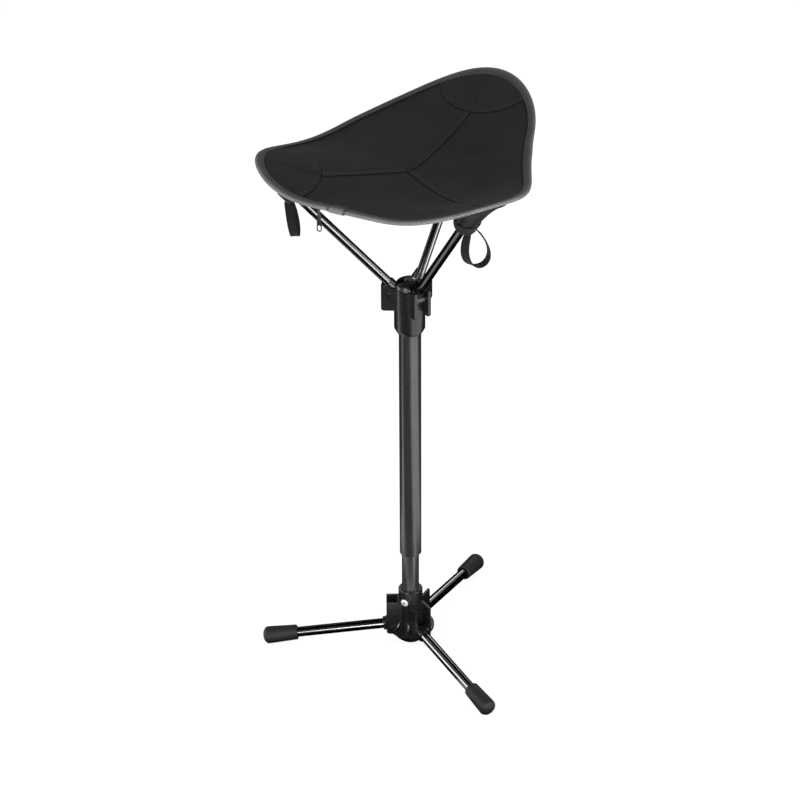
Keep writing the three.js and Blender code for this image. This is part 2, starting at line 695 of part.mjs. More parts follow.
function upperHub() {
  const dome = new THREE.EllipseCurve(0, deckHeight, UPPER_HUB_RADIUS - DECK_EDGE, DECK_CROWN, 0, QUARTER);
  const crown = dome.getPoints(CURVE_STEPS).map((point) => [point.x, point.y]);
  crown[crown.length - 1][0] = 0;
  const body = revolve(
    [
      [0, hubBottom],
      [UPPER_HUB_RADIUS - UPPER_CHAMFER, hubBottom],
      [UPPER_HUB_RADIUS, hubBottom + UPPER_CHAMFER_HEIGHT],
      [UPPER_HUB_RADIUS, deckHeight - DECK_EDGE],
      ...crown,
    ],
    POST_SIDES,
  );
  const ears = SIDE_ANGLES.map((angle) => turned(upperEar(), angle));
  const socket = disc(OUTER_TUBE_RADIUS + SEAT_GAP, hubBottom - OVERRUN, outerTubeTop + SEAT_GAP, POST_SIDES);
  const slots = SIDE_ANGLES.map((angle) => turned(armSlot(), angle));
  const pinHole = acrossY(ARM_PIN_RADIUS + SEAT_GAP, upperEarWidth + OVERRUN, PIN_SIDES).translate(
    ARM_PIN_REACH,
    0,
    armPinHeight,
  );
  const pinHoles = SIDE_ANGLES.map((angle) => turned(pinHole, angle));
  const screwHole = disc(SCREW_RADIUS + SEAT_GAP, outerTubeTop - OVERRUN, crownHeight + OVERRUN, PIN_SIDES);
  const recess = disc(HUB_SCREW_HEAD_RADIUS + SEAT_GAP, crownHeight - HUB_SCREW_RECESS, crownHeight + OVERRUN);
  return cut(join(body, ...ears), socket, ...slots, ...pinHoles, screwHole, recess);
}

function hubScrew() {
  const underHead = crownHeight - HUB_SCREW_RECESS + SEAT_GAP;
  return crossScrew(HUB_SCREW_HEAD_RADIUS, HUB_SCREW_LENGTH).translate(0, 0, underHead);
}

function tubePlug() {
  const top = outerTubeTop;
  const hole = SCREW_RADIUS + SEAT_GAP;
  return ring(hole, outerTubeBore - SEAT_GAP, top - PLUG_LENGTH, top, POST_SIDES);
}

function tubeBush() {
  const bottom = outerTubeBottom + SEAT_GAP;
  const inner = INNER_TUBE_RADIUS + RUNNING_GAP;
  return ring(inner, outerTubeBore - SEAT_GAP, bottom, bottom + BUSH_LENGTH, POST_SIDES);
}

addPiece('outer_tube', outerTube(), 'outerTube', mast);
addPiece('upper_hub', upperHub(), 'plastic', mast);
addPiece('hub_screw', hubScrew(), 'steel', mast);
addPiece('tube_plug', tubePlug(), 'plastic', mast);
addPiece('tube_bush', tubeBush(), 'plastic', mast);

// Arms

const armRises = ARM_SAGS.map((sag) => toRadians(ARM_STOP_RISE - sag));
const stopRise = toRadians(ARM_STOP_RISE);

// Arms are drawn about their pins at the stop: X outwards, with the arm's axis ARM_OFFSET above its pin
function placeOnArm(geometry) {
  return geometry.translate(0, 0, ARM_OFFSET).rotateY(-stopRise);
}

const domeReach = ARM_DOME_REACH - ARM_PIN_REACH + ARM_OFFSET * Math.sin(stopRise);
const armDomeDistance = domeReach / Math.cos(stopRise);

// A point of the arm in its swing plane, as a distance along it and a lift off its axis
function armPoint(rise, distance, lift) {
  const offset = ARM_OFFSET + lift;
  const reach = ARM_PIN_REACH + distance * Math.cos(rise) - offset * Math.sin(rise);
  return new THREE.Vector3(reach, 0, armPinHeight + distance * Math.sin(rise) + offset * Math.cos(rise));
}

function armTube() {
  const end = armDomeDistance - ARM_CAP_END_WALL;
  return placeOnArm(alongX(ring(ARM_TUBE_RADIUS - ARM_TUBE_WALL, ARM_TUBE_RADIUS, -ARM_TUBE_START, end)));
}

function armKnuckle() {
  const width = 2 * BARREL_RADIUS;
  const barrel = placeOnArm(alongX(disc(BARREL_RADIUS, -BARREL_INNER, BARREL_MOUTH)));
  const outline = new THREE.Shape();
  outline.moveTo(LUG_RADIUS, 0);
  outline.lineTo(LUG_RADIUS, ARM_OFFSET);
  outline.lineTo(-LUG_RADIUS, ARM_OFFSET);
  outline.lineTo(-LUG_RADIUS, 0);
  outline.absarc(0, 0, LUG_RADIUS, Math.PI, 2 * Math.PI, false);
  const lug = placeOnArm(plate(outline, width).translate(0, 0, -ARM_OFFSET));
  const boreRadius = ARM_TUBE_RADIUS + SEAT_GAP;
  const bore = placeOnArm(alongX(disc(boreRadius, -ARM_TUBE_START - SEAT_GAP, BARREL_MOUTH + OVERRUN)));
  const hole = acrossY(ARM_PIN_RADIUS + SEAT_GAP, width + OVERRUN, PIN_SIDES);

  // Its flat underside stops on the hub's deck, and its inner end swings clear of the boss
  const rest = SEAT_GAP - BARREL_FLOOR_BELOW_PIN;
  const swing = ARM_PIN_REACH - BOSS_RADIUS - 2 * SEAT_GAP;
  const inner = -Math.sqrt(swing ** 2 - rest ** 2);
  const block = 2 * BARREL_INNER;
  const below = new THREE.BoxGeometry(block, block, block).translate(0, 0, rest - block / 2);
  const inside = new THREE.BoxGeometry(block, block, block).translate(inner - block / 2, 0, 0);
  return cut(join(barrel, lug), bore, hole, below, inside);
}

function armCap() {
  const dome = new THREE.EllipseCurve(0, armDomeDistance, ARM_CAP_RADIUS, ARM_CAP_RADIUS, 0, QUARTER);
  const tip = dome.getPoints(CURVE_STEPS).map((point) => [point.x, point.y]);
  tip[tip.length - 1][0] = 0;
  const mouth = armDomeDistance - ARM_CAP_LENGTH;
  const cap = alongX(revolve([[0, mouth], [ARM_CAP_RADIUS, mouth], ...tip]));
  const boreEnd = armDomeDistance - ARM_CAP_END_WALL + SEAT_GAP;
  const bore = alongX(disc(ARM_TUBE_RADIUS + SEAT_GAP, mouth - OVERRUN, boreEnd));
  return placeOnArm(cut(cap, bore));
}

SIDE_NAMES.forEach((name, index) => {
  const group = sideGroup(SIDE_ANGLES[index], mast);
  const arm = new THREE.Group();
  arm.position.set(ARM_PIN_REACH, 0, armPinHeight);
  arm.rotation.y = toRadians(ARM_SAGS[index]);
  group.add(arm);
  addPiece(`arm_tube_${name}`, armTube(), 'glossyTube', arm);
  addPiece(`arm_knuckle_${name}`, armKnuckle(), 'plastic', arm);
  addPiece(`arm_cap_${name}`, armCap(), 'plastic', arm);
  const pin = pivotPin(ARM_PIN_RADIUS, upperEarWidth).translate(ARM_PIN_REACH, 0, armPinHeight);
  addPiece(`arm_pin_${name}`, pin, 'steel', group);
});

// Seat: one sling surface, which rests on the arm caps; angles are counted from the left corner

const seatCornerRadius = ARM_DOME_REACH + SEAT_CORNER_OVERHANG;

function cornerShare(angle) {
  return (1 + Math.cos(SIDE_NAMES.length * toRadians(angle))) / 2;
}

// How far the sling strays from an even rim: two parts that swing once round it, and two that swing twice
function stray(angle, once, sideOnce, twice, sideTwice) {
  const turn = toRadians(angle);
  const first = once * Math.cos(turn) + sideOnce * Math.sin(turn);
  return first + twice * Math.cos(2 * turn) + sideTwice * Math.sin(2 * turn);
}

function rimRadius(angle) {
  const share = cornerShare(angle) ** RIM_PLAN_POWER;
  const even = SEAT_WAIST_RADIUS + (seatCornerRadius - SEAT_WAIST_RADIUS) * share;
  return even + stray(angle, SEAT_SHIFT, SEAT_SIDE_SHIFT, SEAT_STRETCH, 0);
}

function rimRise(angle) {
  const share = cornerShare(angle) ** RIM_RISE_POWER;
  const even = SEAT_WAIST_RISE + (SEAT_CORNER_RISE - SEAT_WAIST_RISE) * share;
  return even + stray(angle, SEAT_LEAN, SEAT_SIDE_LEAN, SEAT_SAG, SEAT_SIDE_SAG);
}

// The lowest that the sling's centre can be with each arm's cap under its cloth
const seatCentreHeights = armRises.map((rise, index) => {
  const angle = (index * 360) / SIDE_NAMES.length;
  const dome = armPoint(rise, armDomeDistance, 0);
  const share = dome.x / rimRadius(angle);
  const slope = (rimRise(angle) * SLING_POWER * share ** (SLING_POWER - 1)) / rimRadius(angle);
  const lift = (ARM_CAP_RADIUS + SEAT_GAP) * Math.hypot(1, slope) + PANEL_THICKNESS;
  return dome.z + lift - rimRise(angle) * share ** SLING_POWER;
});
const seatCentreHeight = Math.max(...seatCentreHeights);

// A point on the sling, inset from its edge along the line to the centre, and lifted off its top face
function slingPoint(angle, inset, lift) {
  const radius = rimRadius(angle) - inset;
  const share = radius / rimRadius(angle);
  const turn = toRadians(FIRST_SIDE_ANGLE + angle);
  const height = seatCentreHeight + rimRise(angle) * share ** SLING_POWER + lift;
  return new THREE.Vector3(radius * Math.cos(turn), radius * Math.sin(turn), height);
}

// The panel is flat across the binding's width at its edge, so that the binding lies close to it
function seatPanel() {
  const rows = [];
  for (let i = 0; i < RIM_STEPS; i += 1) rows.push((i * 360) / RIM_STEPS);
  const position = [];
  const index = [];
  const faces = [0, -PANEL_THICKNESS];
  faces.forEach((lift) => {
    position.push(0, 0, seatCentreHeight + lift);
    for (let ringNumber = 1; ringNumber <= PANEL_RINGS; ringNumber += 1) {
      const share = ringNumber / (PANEL_RINGS - 1);
      rows.forEach((angle) => {
        const inset = BINDING_WIDTH + (rimRadius(angle) - BINDING_WIDTH) * (1 - share);
        position.push(...slingPoint(angle, ringNumber < PANEL_RINGS ? inset : 0, lift).toArray());
      });
    }
  });
  const faceSize = 1 + PANEL_RINGS * RIM_STEPS;
  const at = (face, ringNumber, step) => {
    if (ringNumber === 0) return face * faceSize;
    return face * faceSize + 1 + (ringNumber - 1) * RIM_STEPS + (step % RIM_STEPS);
  };
  for (let step = 0; step < RIM_STEPS; step += 1) {
    for (let ringNumber = 0; ringNumber < PANEL_RINGS; ringNumber += 1) {
      const [a, b] = [at(0, ringNumber, step), at(0, ringNumber + 1, step)];
      const [c, d] = [at(0, ringNumber + 1, step + 1), at(0, ringNumber, step + 1)];
      const [e, f] = [at(1, ringNumber, step), at(1, ringNumber + 1, step)];
      const [g, h] = [at(1, ringNumber + 1, step + 1), at(1, ringNumber, step + 1)];
      index.push(a, b, c, e, g, f);
      if (ringNumber > 0) index.push(a, c, d, e, h, g);
    }
    const [a, b] = [at(0, PANEL_RINGS, step), at(0, PANEL_RINGS, step + 1)];
    const [c, d] = [at(1, PANEL_RINGS, step + 1), at(1, PANEL_RINGS, step)];
    index.push(a, d, c, a, c, b);
  }
  const geometry = new THREE.BufferGeometry();
  geometry.setAttribute('position', new THREE.Float32BufferAttribute(position, 3));
  geometry.setIndex(index);
  return geometryOf(solidOf(geometry));
}

// The binding wraps the edge: each row runs round one section of the folded tape
function seatBinding() {
  const outside = -SEAT_GAP - BINDING_THICKNESS;
  const under = -PANEL_THICKNESS - SEAT_GAP;
  const section = [
    [BINDING_WIDTH, SEAT_GAP],
    [BINDING_WIDTH, SEAT_GAP + BINDING_THICKNESS],
    [outside, SEAT_GAP + BINDING_THICKNESS],
    [outside, under - BINDING_THICKNESS],
    [BINDING_WIDTH, under - BINDING_THICKNESS],
    [BINDING_WIDTH, under],
    [-SEAT_GAP, under],
    [-SEAT_GAP, SEAT_GAP],
  ];
  const rows = [];
  for (let i = 0; i < RIM_STEPS; i += 1) {
    const angle = (i * 360) / RIM_STEPS;
    rows.push(section.map(([inset, lift]) => slingPoint(angle, inset, lift)));
  }
  return closedGrid(rows);
}

// A corner pocket in its arm's plane: from a round mouth on the arm up to a wide seam under the seat's edge
const mouthDistances = POCKET_LENGTHS.map((length) => armDomeDistance - length);
const bindingUnderside = -PANEL_THICKNESS - SEAT_GAP - BINDING_THICKNESS;
const pocketSeamLifts = POCKET_SEAM_DROPS.map((drop) => bindingUnderside - drop);

function pocketPoint(index, share, turn, cloth) {
  const corner = (index * 360) / SIDE_NAMES.length;
  const rise = armRises[index];
  const mouthRadius = POCKET_MOUTH_RADIUS - cloth;
  const mouth = armPoint(rise, mouthDistances[index], mouthRadius * Math.cos(turn));
  mouth.y = mouthRadius * Math.sin(turn);
  const outerSeam = rimRadius(corner) - POCKET_EDGE_INSET;
  const innerSeam = armPoint(rise, armDomeDistance, 0).x - POCKET_SEAM_BEHIND_DOME;
  const halfDepth = (outerSeam - innerSeam) / 2 - cloth;
  const reach = (outerSeam + innerSeam) / 2 - halfDepth * Math.cos(turn);
  const across = (POCKET_HALF_WIDTH - cloth) * Math.sin(turn);
  const offset = corner + THREE.MathUtils.radToDeg(Math.atan2(across, reach));
  const seam = slingPoint(offset, rimRadius(offset) - Math.hypot(reach, across), pocketSeamLifts[index]);
  const top = new THREE.Vector3(reach, across, seam.z);
  const alongArm = new THREE.Vector3(Math.cos(rise), 0, Math.sin(rise));
  const reachUp = Math.min(mouth.distanceTo(top), (top.z - mouth.z) / alongArm.z);
  const bow = alongArm.multiplyScalar(POCKET_BOW_SHARE * reachUp).add(mouth);
  return new THREE.QuadraticBezierCurve3(mouth, bow, top).getPoint(share);
}

function cornerPocket(index) {
  const rows = [];
  const turns = Array.from({ length: POCKET_SIDES }, (unused, j) => (j * 2 * Math.PI) / POCKET_SIDES);
  for (let i = 0; i < POCKET_RINGS; i += 1) {
    rows.push(turns.map((turn) => pocketPoint(index, i / (POCKET_RINGS - 1), turn, 0)));
  }
  for (let i = POCKET_RINGS - 1; i >= 0; i -= 1) {
    rows.push(turns.map((turn) => pocketPoint(index, i / (POCKET_RINGS - 1), turn, POCKET_CLOTH)));
  }
  return closedGrid(rows);
}

// A strap loop that hangs across the arm from the pocket's mouth
function pullLoop(index) {
  const top = armPoint(armRises[index], mouthDistances[index], -POCKET_MOUTH_RADIUS - SEAT_GAP);
  top.y = LOOP_OFFSETS[index];
  const outline = (inset) => {
    const radius = LOOP_RADIUS - inset;
    const centre = LOOP_RADIUS - LOOP_HEIGHT;
    const neck = LOOP_NECK - inset;
    const path = inset ? new THREE.Path() : new THREE.Shape();
    path.moveTo(-neck, -inset);
    path.quadraticCurveTo(-neck, centre / 2, -radius, centre);
    path.absarc(0, centre, radius, Math.PI, 2 * Math.PI, false);
    path.quadraticCurveTo(neck, centre / 2, neck, -inset);
    return path;
  };
  const shape = outline(0);
  shape.holes.push(outline(STRAP_THICKNESS));
  return plate(shape, STRAP_WIDTH).rotateZ(QUARTER).translate(...top.toArray());
}

addPiece('seat_panel', seatPanel(), 'seatCloth', mast);
addPiece('seat_binding', seatBinding(), 'bindingTape', mast);
SIDE_NAMES.forEach((name, index) => {
  const group = sideGroup(SIDE_ANGLES[index], mast);
  addPiece(`seat_pocket_${name}`, cornerPocket(index), 'seatCloth', group);
  addPiece(`pull_loop_${name}`, pullLoop(index), 'webbing', group);
});

// Zip under the edge between the left and front corners

function zipTape() {
  const rows = [];
  const under = -PANEL_THICKNESS - SEAT_GAP;
  const section = [
    [ZIP_INSET, under],
    [ZIP_INSET, under - ZIP_TAPE_THICKNESS],
    [ZIP_INSET + ZIP_TAPE_WIDTH, under - ZIP_TAPE_THICKNESS],
    [ZIP_INSET + ZIP_TAPE_WIDTH, under],
  ];
  const outline = (angle) => section.map(([inset, lift]) => slingPoint(angle, inset, lift));
  for (let i = 0; i <= ZIP_TAPE_STEPS; i += 1) {
    rows.push(outline(ZIP_ANGLE - ZIP_HALF_SPREAD + (2 * ZIP_HALF_SPREAD * i) / ZIP_TAPE_STEPS));
  }
  const position = rows.flat().flatMap((point) => point.toArray());
  const index = [];
  const across = section.length;
  for (let i = 0; i < ZIP_TAPE_STEPS; i += 1) {
    for (let j = 0; j < across; j += 1) {
      const right = (j + 1) % across;
      const [a, b] = [i * across + j, i * across + right];
      index.push(a, b, b + across, a, b + across, a + across);
    }
  }
  const last = ZIP_TAPE_STEPS * across;
  index.push(0, 2, 1, 0, 3, 2, last, last + 1, last + 2, last, last + 2, last + 3);
  const geometry = new THREE.BufferGeometry();
  geometry.setAttribute('position', new THREE.Float32BufferAttribute(position, 3));
  geometry.setIndex(index);
  return geometryOf(solidOf(geometry));
}

const tapeUnderside = -PANEL_THICKNESS - 2 * SEAT_GAP - ZIP_TAPE_THICKNESS;
const sliderPlace = slingPoint(ZIP_ANGLE, ZIP_INSET + ZIP_TAPE_WIDTH / 2, tapeUnderside);
const tapeOuter = slingPoint(ZIP_ANGLE, ZIP_INSET, tapeUnderside);
const tapeInner = slingPoint(ZIP_ANGLE, ZIP_INSET + ZIP_TAPE_WIDTH, tapeUnderside);
const tapeSlope = Math.asin((tapeOuter.z - tapeInner.z) / tapeOuter.distanceTo(tapeInner));
const bailDrop = SLIDER_HEIGHT + PULLER_HEAD_RADIUS + RUNNING_GAP;

// The slider lies along the tape, and its ears hold the puller's pin
function zipSlider() {
  const body = new THREE.BoxGeometry(SLIDER_LENGTH, SLIDER_WIDTH, SLIDER_HEIGHT);
  body.translate(0, 0, -SLIDER_HEIGHT / 2);
  const earPlace = PULLER_WIDTH / 2 + RUNNING_GAP + SLIDER_EAR_THICKNESS / 2;
  const earHeight = bailDrop + PULLER_HEAD_RADIUS;
  const ear = new THREE.BoxGeometry(2 * PULLER_HEAD_RADIUS, SLIDER_EAR_THICKNESS, earHeight);
  ear.translate(0, 0, -earHeight / 2);
  const ears = [-1, 1].map((side) => ear.clone().translate(0, side * earPlace, 0));
  const bail = acrossY(SLIDER_PIN_RADIUS, 2 * earPlace, PIN_SIDES).translate(0, 0, -bailDrop);
  return join(body, ...ears, bail).rotateY(-tapeSlope);
}

// The puller hangs straight down from its pin
function zipPuller() {
  const half = PULLER_WIDTH / 2;
  const slotEnd = half - PULLER_LENGTH;
  const shape = new THREE.Shape();
  shape.moveTo(half, 0);
  shape.lineTo(-half, 0);
  shape.lineTo(-half, slotEnd);
  shape.absarc(0, slotEnd, half, Math.PI, 2 * Math.PI, false);
  const slot = new THREE.Path();
  slot.absarc(0, slotEnd, PULLER_EYE_RADIUS, Math.PI, 2 * Math.PI, false);
  slot.absarc(0, slotEnd + PULLER_EYE_LENGTH, PULLER_EYE_RADIUS, 0, Math.PI, false);
  shape.holes.push(slot);
  const blade = plate(shape, PULLER_THICKNESS).rotateZ(QUARTER);
  const head = acrossY(PULLER_HEAD_RADIUS, PULLER_WIDTH, PIN_SIDES);
  const eye = acrossY(SLIDER_PIN_RADIUS + RUNNING_GAP, PULLER_WIDTH + OVERRUN, PIN_SIDES);
  const pin = new THREE.Vector3(0, 0, -bailDrop).applyAxisAngle(new THREE.Vector3(0, 1, 0), -tapeSlope);
  return cut(join(blade, head), eye).translate(...pin.toArray());
}

const zipGroup = new THREE.Group();
zipGroup.position.copy(sliderPlace);
zipGroup.rotation.z = toRadians(FIRST_SIDE_ANGLE + ZIP_ANGLE);
mast.add(zipGroup);
addPiece('zip_tape', zipTape(), 'webbing', mast);
addPiece('zip_slider', zipSlider(), 'zipMetal', zipGroup);
addPiece('zip_puller', zipPuller(), 'zipMetal', zipGroup);

export default stool;
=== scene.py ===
import json
import math

import bmesh
import bpy
from mathutils import Matrix, Vector


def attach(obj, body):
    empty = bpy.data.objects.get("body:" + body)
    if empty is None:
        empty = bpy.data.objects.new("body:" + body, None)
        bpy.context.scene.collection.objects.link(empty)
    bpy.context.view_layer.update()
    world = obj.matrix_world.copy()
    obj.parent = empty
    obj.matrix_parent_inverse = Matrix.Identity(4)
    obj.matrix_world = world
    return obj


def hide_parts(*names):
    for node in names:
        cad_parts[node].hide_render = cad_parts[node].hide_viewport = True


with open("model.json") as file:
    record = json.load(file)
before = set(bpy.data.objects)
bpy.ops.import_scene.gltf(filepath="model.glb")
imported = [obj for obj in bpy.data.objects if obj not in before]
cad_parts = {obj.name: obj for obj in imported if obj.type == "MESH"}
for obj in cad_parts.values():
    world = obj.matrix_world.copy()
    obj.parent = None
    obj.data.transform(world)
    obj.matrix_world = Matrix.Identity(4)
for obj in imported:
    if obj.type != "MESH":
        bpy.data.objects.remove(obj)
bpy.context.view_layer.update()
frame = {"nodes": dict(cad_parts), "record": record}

MM = 0.001
QUARTER = math.pi / 2

# Directions of the mast's three sides, which stand a little turned against the legs
MAST_TURN = math.radians(-3.6)
FIRST_SIDE = math.pi + MAST_TURN
SIDES = {"left": FIRST_SIDE, "front": FIRST_SIDE + math.tau / 3, "back": FIRST_SIDE + 2 * math.tau / 3}

# Arms: pin, axis above the pin, rise of each and the middle of the round tips
ARM_PIN_REACH = 25 * MM
ARM_PIN_HEIGHT = 517.012 * MM
ARM_OFFSET = 8 * MM
ARM_RISES = {"left": math.radians(46.5), "front": math.radians(51.5), "back": math.radians(52.2)}
DOME_DISTANCE = 215.2386 * MM

# Seat: plan and rise of its edge, and how the cloth strays from an even rim
CORNER_REACH = 192.1 * MM
WAIST_REACH = 146.2 * MM
CORNER_RISE = 35.2 * MM
WAIST_RISE = 12 * MM
SHIFT = -4.4 * MM
SIDE_SHIFT = -5.2 * MM
STRETCH = -8.4 * MM
LEAN = -17.5 * MM
SIDE_LEAN = -0.8 * MM
SAG = -4.4 * MM
SIDE_SAG = 4.9 * MM
PLAN_POWER = 1.2
RISE_POWER = 2.6
SLING_POWER = 2.4
CENTRE_HEIGHT = 677.3965 * MM
PANEL_THICKNESS = 2.2 * MM
PANEL_RINGS = 64
PANEL_EDGE_RINGS = 16
PANEL_EDGE = 16 * MM
PANEL_STEPS = 288

# Slack in the cloth: folds that fan out from each arm's tip, puckers at the edge, and a calm rim
FOLD_TIP = 150 * MM
FOLD_ROOT = 12 * MM
FOLD_REACH = 48 * MM
FOLD_SPREAD = 26 * MM
FOLD_HEIGHT = 0.55 * MM
FOLDS = 7
FOLD_START = 0.8
PUCKER_HEIGHT = 0.3 * MM
PUCKERS = 41
PUCKER_SHARES = (0.8, 0.12)
CALM_RIM = 7 * MM
CALM_WIDTH = 12 * MM

# Bound edge: its section as insets and lifts in millimetres, the painted shade on each point of it, and its
# lap
BINDING_WIDTH = 9 * MM
BINDING_STEPS = 576
BINDING_SECTION = [
    (9.0, 0.35), (9.4, 1.0), (9.0, 1.7), (8.2, 1.55), (7.0, 1.35), (5.0, 1.6), (2.6, 1.6), (0.6, 1.3),
    (-0.7, 0.3), (-1.3, -1.2), (-0.9, -2.6), (0.4, -3.5), (3.0, -3.85), (7.0, -3.8), (9.0, -3.6),
    (9.0, -2.8), (1.4, -2.8), (0.3, -1.2), (1.4, 0.4),
]
# Painted shade: the tape's top and underside are darkened, its front-facing outer face is left light
BINDING_PAINTED_SHADES = [
    1.0, 0.9, 0.86, 0.84, 0.84, 0.8, 0.68, 0.36, 0.0, 0.0, 0.0, 0.1, 0.4, 0.7, 1.0, 1.0, 1.0, 1.0, 1.0,
]
BINDING_OUTSIDE = 15
BINDING_RINGS = (2.0, 0.01)
BINDING_EDGE = (0.6, -1.2)
BINDING_MAP_RADIUS = 165 * MM
BINDING_LAP = math.radians(57.0)
BINDING_LAP_HALF = math.radians(4.8)
BINDING_LAP_STEP = 0.008
BINDING_LAP_SWELL = 1.1
BINDING_LAP_SPREADS = (-0.5, 0.4)
BINDING_LAP_SHADOW = math.radians(0.6)
BINDING_PUCKER = 0.12
BINDING_PUCKERS = 150
BINDING_PUCKER_INSET = 6.4
BINDING_PUCKER_WIDTH = 2.0
BINDING_THREAD_INSET = 7.2 * MM
BINDING_THREAD_LIFT = 1.5 * MM
BINDING_SHADE = 3 * MM
BINDING_SHADE_START = 0.4 * MM

# Corner patches: the middle and radius of each rounded patch, out along its corner and across it
PATCHES = {
    "left": (185 * MM, 24 * MM, 84 * MM),
    "front": (200 * MM, 0.0, 76 * MM),
    "back": (209 * MM, 3 * MM, 72 * MM),
}
PATCH_CLOTH = 0.25 * MM
PATCH_LIFT = 1.2 * MM
PATCH_HEM = 0.3 * MM
PATCH_HEM_WIDTH = 1.2 * MM
PATCH_SHADE = 0.9 * MM
PATCH_SHADE_START = 0.2 * MM
PATCH_TUCK = 8 * MM
PATCH_TUCK_DEPTH = 0.6 * MM
PATCH_TUCK_WIDTH = 1.4 * MM
PATCH_TUCK_OVERLAP = 0.2 * MM
PATCH_SWEEP = 110
PATCH_STEPS = 144
PATCH_RINGS = 30
PATCH_SPACING = 1.8
PATCH_THREADS = (2.2 * MM, 6.2 * MM)
THREAD_DENT = 0.3 * MM
THREAD_DENT_WIDTH = 0.7 * MM
THREAD_SHADE = 0.6
THREAD_SHADE_WIDTH = 0.8 * MM
THREAD_BITE = 0.2 * MM
THREAD_MARGIN = 2 * MM
CUT_LIMIT = 0.12
CUT_STEP = 0.25 * MM

# Seams: each runs from the centre to a patch, and on across the patch to the edge
SEAM_ENDS = {
    "left": ((101 * MM, 21 * MM), (168 * MM, 1 * MM)),
    "front": ((124 * MM, 0.0), (183 * MM, 0.0)),
    "back": ((137 * MM, 3 * MM), (193 * MM, 6 * MM)),
}
SEAM_WIDTH = 8.4 * MM
SEAM_CELLS = (96, 20)
SEAM_LIFT = 1.15 * MM
SEAM_CLOTH = 0.3 * MM
SEAM_THREAD = 2.2 * MM
SEAM_THREAD_SHADE = 0.5
SEAM_THREAD_WIDTH = 0.6 * MM
SEAM_CROWN = 0.82
SEAM_FLATNESS = 5
SEAM_SHADE = (0.72, 0.12)
PATCH_SEAM_WIDTH = 3.6 * MM
STITCH_LENGTH = 2.5 * MM
STITCH_PITCH = 3.5 * MM
STITCH_THICKNESS = 0.55 * MM
SEAM_SPOTS = 80
PATCH_SPOTS = 160
BINDING_SPOTS = 1440

# Corner pockets
POCKET_LENGTHS = {"left": 49 * MM, "front": 26 * MM, "back": 34 * MM}
POCKET_DROPS = {"left": 0.6 * MM, "front": 0.5 * MM, "back": 1.2 * MM}
POCKET_MOUTH_RADIUS = 12 * MM
POCKET_HALF_WIDTH = 33 * MM
POCKET_SEAM_BEHIND_DOME = 20 * MM
POCKET_EDGE_INSET = 1.5 * MM
POCKET_BOW_SHARE = 0.95
POCKET_CLOTH = 1.2 * MM
POCKET_FOLD = 1.5 * MM
POCKET_FOLD_LIMIT = 0.9 * MM
POCKET_FOLDS = (7, 11)
POCKET_FINE_FOLDS = 0.6
POCKET_GATHER = 0.8
POCKET_STEPS = 120
POCKET_RINGS = 26
POCKET_MAP_RADIUS = 24 * MM
BINDING_UNDERSIDE = -3.8 * MM
BAND_SHARE = 0.15
BAND_LIFT = 1.25 * MM
BAND_WAVE = 0.3 * MM
BAND_CLOTH = 0.9 * MM
BAND_RINGS = 10
BAND_MAP_LENGTH = 40 * MM

# Pull loops
STRAP_WIDTH = 10 * MM
STRAP_THICKNESS = 1.4 * MM
STRAP_CROWN = 0.25 * MM
STRAP_CELLS = (120, 8)
STRAP_AHEAD = 0.002
LOOP_DROP = 44 * MM
LOOP_START = 1.2 * MM
LOOP_GAP = 0.3 * MM
LOOP_MAP_LENGTH = 120 * MM
LOOP_NECKS = {"left": 3 * MM, "front": 6 * MM, "back": 3 * MM}
LOOP_OFFSETS = {"left": 0.0, "front": 5 * MM, "back": 0.0}
LOOP_SWAYS = {"left": (-8 * MM, 2 * MM), "front": (3 * MM, 7 * MM), "back": (2 * MM, -2 * MM)}
LOOP_TWISTS = {"left": (-0.25, 0.1), "front": (0.2, 0.75), "back": (0.1, -0.2)}
LOOP_SPREADS = {"left": 18 * MM, "front": 15 * MM, "back": 18 * MM}

# Zip under the edge
ZIP_TURN = math.radians(40.0)
ZIP_HALF_SPREAD = math.radians(15.6)
ZIP_INSET = 10 * MM
ZIP_WIDTH = 12 * MM
ZIP_LIFT = -2.75 * MM
ZIP_CLOTH = 0.6 * MM
ZIP_GAP = 2.4 * MM
ZIP_CELLS = (72, 5)
ZIP_MAP_LENGTH = 84 * MM
TOOTH_PITCH = 1.9 * MM
TOOTH_SIZE = (1.1 * MM, 2.1 * MM, 1.0 * MM)
TOOTH_OFFSET = 0.35 * MM
TOOTH_ROUNDING = 0.25 * MM

# Painted shadow of the hollow in the rivet's head: a dark disc on its face
RIVET_TURN = math.radians(240.0)
RIVET_FACE = (17.6 * MM, 67.71 * MM)
RIVET_HOLLOW_SHADOW = (1.5 * MM, 0.1 * MM)

# Zip puller, from its pin down: a flat bar with an eye at its end
PULLER_PIN = (-0.105375, -0.077689, 0.670502)
PULLER_HEAD = (1.7 * MM, 4.2 * MM)
PULLER_BAR = (1.7 * MM, 1.2 * MM)
PULLER_EYE = (3.1 * MM, 1.9 * MM)
PULLER_EYE_DROP = 28 * MM
PULLER_EYE_LENGTH = 3 * MM
PULLER_NECK = 2 * MM
PULLER_TWIST = math.radians(38.0)
PULLER_TWIST_WIDTH = 8 * MM
PULLER_ROUNDING = 0.25 * MM

# Painted shade along the cloth's sewn-down and folded lines: how far it darkens, and to what tone
PAINTED_SHADE_SHARE = 0.92
PAINTED_SHADE_TONE = 0.002

# Rounded edges and smooth faces
SHARP_ANGLE = math.radians(36.0)
EDGE_ANGLE = math.radians(50.0)
STRAP_EDGE_ANGLE = math.radians(60.0)
EDGE_ROUNDING = 0.35 * MM
WELD_DISTANCE = 0.004 * MM

